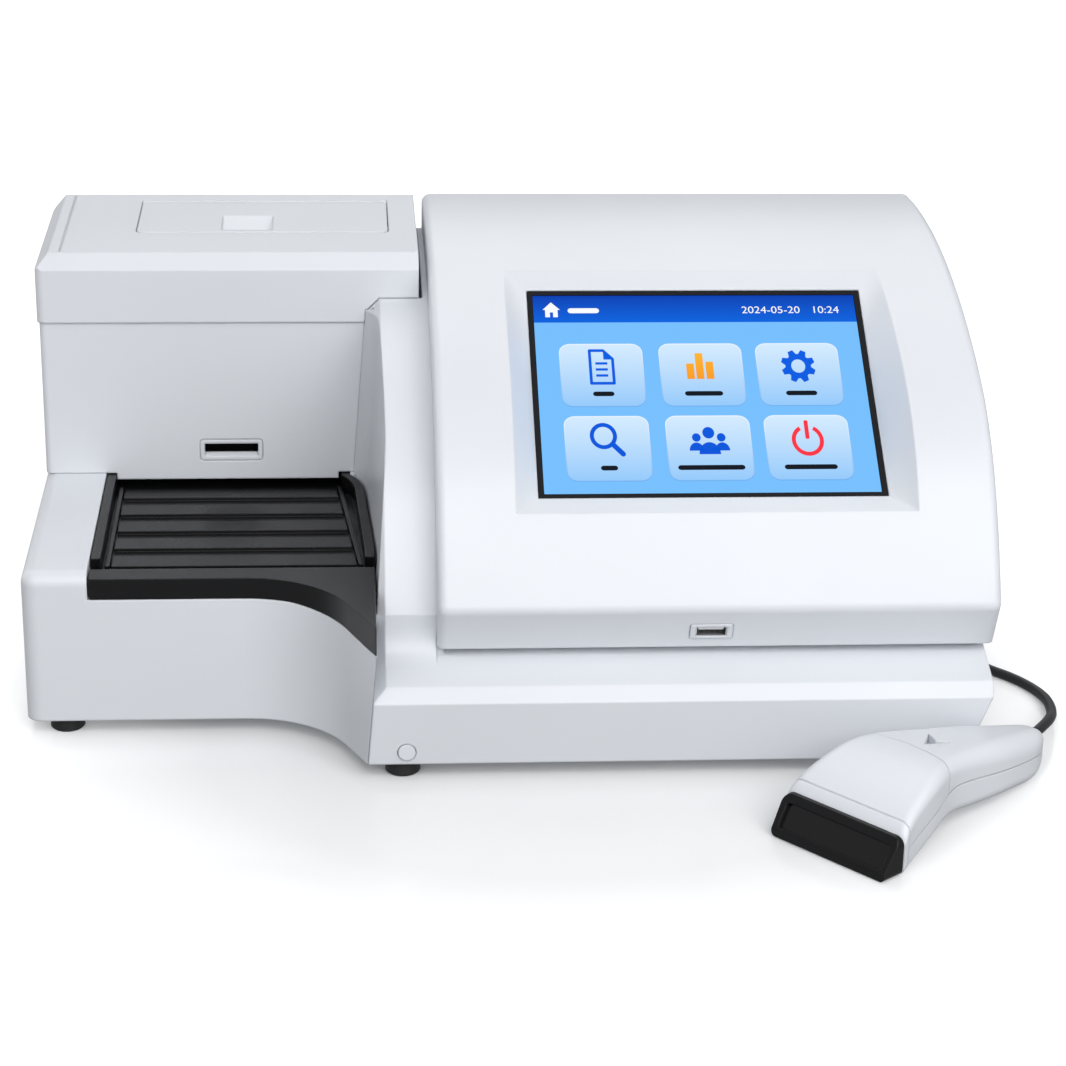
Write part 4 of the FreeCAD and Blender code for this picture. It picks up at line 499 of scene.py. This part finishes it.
# One small item repeated in a row by Geometry Nodes, and then kept as plain mesh
def rowGroup():
    group = bpy.data.node_groups.new("rowOf", "GeometryNodeTree")
    kinds = {"Item": "NodeSocketObject", "Count": "NodeSocketInt", "Start": "NodeSocketVector",
             "Step": "NodeSocketVector", "Finish": "NodeSocketMaterial"}
    ways = {name: group.interface.new_socket(name, in_out="INPUT", socket_type=kind).identifier
            for name, kind in kinds.items()}
    group.interface.new_socket("Geometry", in_out="OUTPUT", socket_type="NodeSocketGeometry")
    given = group.nodes.new("NodeGroupInput")
    line = group.nodes.new("GeometryNodeMeshLine")
    item = group.nodes.new("GeometryNodeObjectInfo")
    copies = group.nodes.new("GeometryNodeInstanceOnPoints")
    plain = group.nodes.new("GeometryNodeRealizeInstances")
    finish = group.nodes.new("GeometryNodeSetMaterial")
    result = group.nodes.new("NodeGroupOutput")
    link = group.links.new
    link(given.outputs["Item"], item.inputs["Object"])
    link(given.outputs["Count"], line.inputs["Count"])
    link(given.outputs["Start"], line.inputs["Start Location"])
    link(given.outputs["Step"], line.inputs["Offset"])
    link(line.outputs["Mesh"], copies.inputs["Points"])
    link(item.outputs["Geometry"], copies.inputs["Instance"])
    link(copies.outputs["Instances"], plain.inputs["Geometry"])
    link(plain.outputs["Geometry"], finish.inputs["Geometry"])
    link(given.outputs["Finish"], finish.inputs["Material"])
    link(finish.outputs["Geometry"], result.inputs["Geometry"])
    return group, ways


rowOf, rowWays = rowGroup()


def addRow(name, slot, **values):
    thing = addObject(name, bpy.data.meshes.new(name))
    modifier = thing.modifiers.new("row", "NODES")
    modifier.node_group = rowOf
    for way, value in values.items():
        modifier[rowWays[way]] = value
    mesh = finalMesh(thing)
    thing.modifiers.remove(modifier)
    thing.data = mesh
    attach(thing, "analyzer")


# Turned pin along +Y, from rings of (radius, distance)
def pinItem(rings):
    sides = 20
    shape = bmesh.new()
    angles = [2 * math.pi * i / sides for i in range(sides)]
    loops = [[shape.verts.new((r / 1000 * math.cos(a), d / 1000, r / 1000 * math.sin(a))) for a in angles]
             for r, d in rings]
    for a, b in zip(loops, loops[1:]):
        for i in range(sides):
            shape.faces.new((a[i], a[i - 1], b[i - 1], b[i]))
    shape.faces.new(loops[0])
    shape.faces.new(loops[-1][::-1])
    bmesh.ops.recalc_face_normals(shape, faces=shape.faces)
    return addObject("pin", meshFrom("pin", shape))


# Flat contact with softened edges, lying in the sloping mouth
def contactItem(size, lean):
    shape = bmesh.new()
    width, length, thick = (value / 1000 for value in size)
    turn = Matrix.Rotation(lean, 4, "X")
    bmesh.ops.create_cube(shape, size=1.0, matrix=turn @ Matrix.Diagonal((width, length, thick, 1.0)))
    bmesh.ops.bevel(shape, geom=shape.edges[:], offset=thick * 0.3, segments=2, affect="EDGES")
    return addObject("contact", meshFrom("contact", shape))


contacts = {"serialX": 28.0, "serialZ": 24.0, "pinFloor": 131.5, "pinPitch": 2.77, "rowGap": 1.42,
            "pinRings": ((0.5, 0.0), (0.5, 4.2), (0.36, 4.8), (0.18, 5.0)),
            "usbCount": 4, "usbPitch": 2.3, "usbDrop": 0.98, "usbSize": (1.0, 8.0, 0.16)}


def addContacts():
    pin = pinItem(contacts["pinRings"])
    pitch = contacts["pinPitch"]
    for name, count, side in (("serialPinsUpper", 5, 1), ("serialPinsLower", 4, -1)):
        first = at(contacts["serialX"] - pitch * (count - 1) / 2, contacts["pinFloor"],
                   contacts["serialZ"] + side * contacts["rowGap"])
        addRow(name, "steel", Item=pin, Count=count, Start=first, Step=(pitch / 1000, 0, 0),
               Finish=finishes["gilt"])
    low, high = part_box("usb_tongue")
    facing = Vector(next(m["axis"] for m in frame["record"]["mounts"] if m["name"] == "usb_a_socket"))
    lean = math.atan2(facing.z, facing.y) - math.pi
    strip = contactItem(contacts["usbSize"], lean)
    under = facing.cross(Vector((1, 0, 0))).normalized()
    under = -under if under.z > 0 else under
    pitch = contacts["usbPitch"] / 1000
    count = contacts["usbCount"]
    first = (low + high) / 2 + under * contacts["usbDrop"] / 1000 - Vector((pitch * (count - 1) / 2, 0, 0))
    addRow("usbContacts", "steel", Item=strip, Count=count, Start=first, Step=(pitch, 0, 0),
           Finish=finishes["gilt"])
    for item in (pin, strip):
        bpy.data.objects.remove(item)


addContacts()
print("contacts set")


studio = {"floor": 16.0, "floorDrop": 0.05, "floorColour": (0.9, 0.905, 0.91), "floorGloss": 0.14,
          "dome": 9.0, "domeFoot": 0.2, "haze": (0.97, 1.0), "hazeScale": 0.1,
          "worldStrength": 0.35, "worldColour": (0.97, 0.98, 1.0),
          # Painted light on the floor: the glow level at each distance from the object
          "paintedLight": ((0.12, 0.0), (0.16, 0.12), (0.22, 0.42), (0.36, 0.44), (0.6, 0.5), (1.3, 0.7)),
          "paintedLightReach": 1.6, "squeeze": 0.8, "paintedLightCentre": (20.0, -100.0), "aim": (0, 0, 60), "lightSize": 1.4,
          "lights": {"frontLeft": ((-615, -1319, 1281), 8.6), "front": ((377, -1406, 1281), 13.8),
                     "frontRight": ((1115, -936, 1281), 8.0), "low": ((475, -1773, 552), 5.1),
                     "rear": ((117, 1338, 1403), 7.5), "rearLeft": ((-1450, 1130, 552), 9.0)}}


# Floor with painted light: its glow rises with the distance from the object, washing out the object's cast
# shadows away from it and leaving the shade close around it
def paintedFloorMaterial():
    material, tree, shader, coords = startMaterial("studioFloor")
    oval = tree.nodes.new("ShaderNodeVectorMath")
    oval.operation = "MULTIPLY_ADD"
    x, y = (value / 1000 for value in studio["paintedLightCentre"])
    across = studio["squeeze"]
    oval.inputs[1].default_value = (across, 1, 1)
    oval.inputs[2].default_value = (-x * across, -y, 0)
    tree.links.new(coords, oval.inputs[0])
    reach = tree.nodes.new("ShaderNodeVectorMath")
    reach.operation = "LENGTH"
    tree.links.new(oval.outputs["Vector"], reach.inputs[0])
    paintedLight = tree.nodes.new("ShaderNodeFloatCurve")
    scale = studio["paintedLightReach"]
    curve = paintedLight.mapping.curves[0]
    for place, level in studio["paintedLight"]:
        curve.points.new(place / scale, level).handle_type = "VECTOR"
    curve.points[0].location = (0.0, studio["paintedLight"][0][1])
    curve.points[-1].location = (1.0, studio["paintedLight"][-1][1])
    paintedLight.mapping.update()
    share = tree.nodes.new("ShaderNodeMath")
    share.operation = "DIVIDE"
    share.use_clamp = True
    share.inputs[1].default_value = scale
    tree.links.new(reach.outputs["Value"], share.inputs[0])
    tree.links.new(share.outputs[0], paintedLight.inputs["Value"])
    # The painted light sets the floor's emission strength
    tree.links.new(paintedLight.outputs["Value"], shader.inputs["Emission Strength"])
    shader.inputs["Base Color"].default_value = (*studio["floorColour"], 1)
    shader.inputs["Roughness"].default_value = studio["floorGloss"]
    shader.inputs["Emission Color"].default_value = (1, 1, 1, 1)
    return material


def domeMaterial():
    material, tree, shader, coords = startMaterial("studioDome")
    haze = spread(tree, noiseNode(tree, coords, studio["hazeScale"]), *studio["haze"])
    tree.links.new(haze, shader.inputs["Emission Strength"])
    shader.inputs["Base Color"].default_value = (0, 0, 0, 1)
    shader.inputs["Emission Color"].default_value = (1, 1, 1, 1)
    return material


# Lit dome round the set, seen by the camera alone, so that every side has the same white behind it
def addBackdrop():
    shape = bmesh.new()
    bmesh.ops.create_uvsphere(shape, u_segments=48, v_segments=24, radius=studio["dome"])
    buried = [v for v in shape.verts if v.co.z < -studio["domeFoot"] * studio["dome"]]
    bmesh.ops.delete(shape, geom=buried, context="VERTS")
    bmesh.ops.reverse_faces(shape, faces=shape.faces)
    mesh = meshFrom("studioDome", shape)
    mesh.materials.append(domeMaterial())
    dome = addObject("studioDome", mesh)
    for ray in ("visible_diffuse", "visible_glossy", "visible_transmission", "visible_shadow"):
        setattr(dome, ray, False)


def addStudio():
    bpy.ops.mesh.primitive_plane_add(size=studio["floor"], location=at(0, 0, -studio["floorDrop"]))
    floor = bpy.context.object
    floor.name = "studioFloor"
    floor.data.materials.append(paintedFloorMaterial())
    floor.visible_diffuse = False
    floor.visible_glossy = False
    addBackdrop()
    world = bpy.data.worlds.new("studio")
    world.use_nodes = True
    background = world.node_tree.nodes["Background"]
    background.inputs["Color"].default_value = (*studio["worldColour"], 1)
    background.inputs["Strength"].default_value = studio["worldStrength"]
    bpy.context.scene.world = world
    for name, (place, power) in studio["lights"].items():
        data = bpy.data.lights.new(name, "AREA")
        data.size = studio["lightSize"]
        data.energy = power
        thing = addObject(name, data)
        thing.location = at(*place)
        aim = at(*studio["aim"]) - thing.location
        thing.rotation_euler = aim.to_track_quat("-Z", "Y").to_euler()
    bpy.context.scene.view_settings.view_transform = "Standard"


addStudio()
print("studio lit")
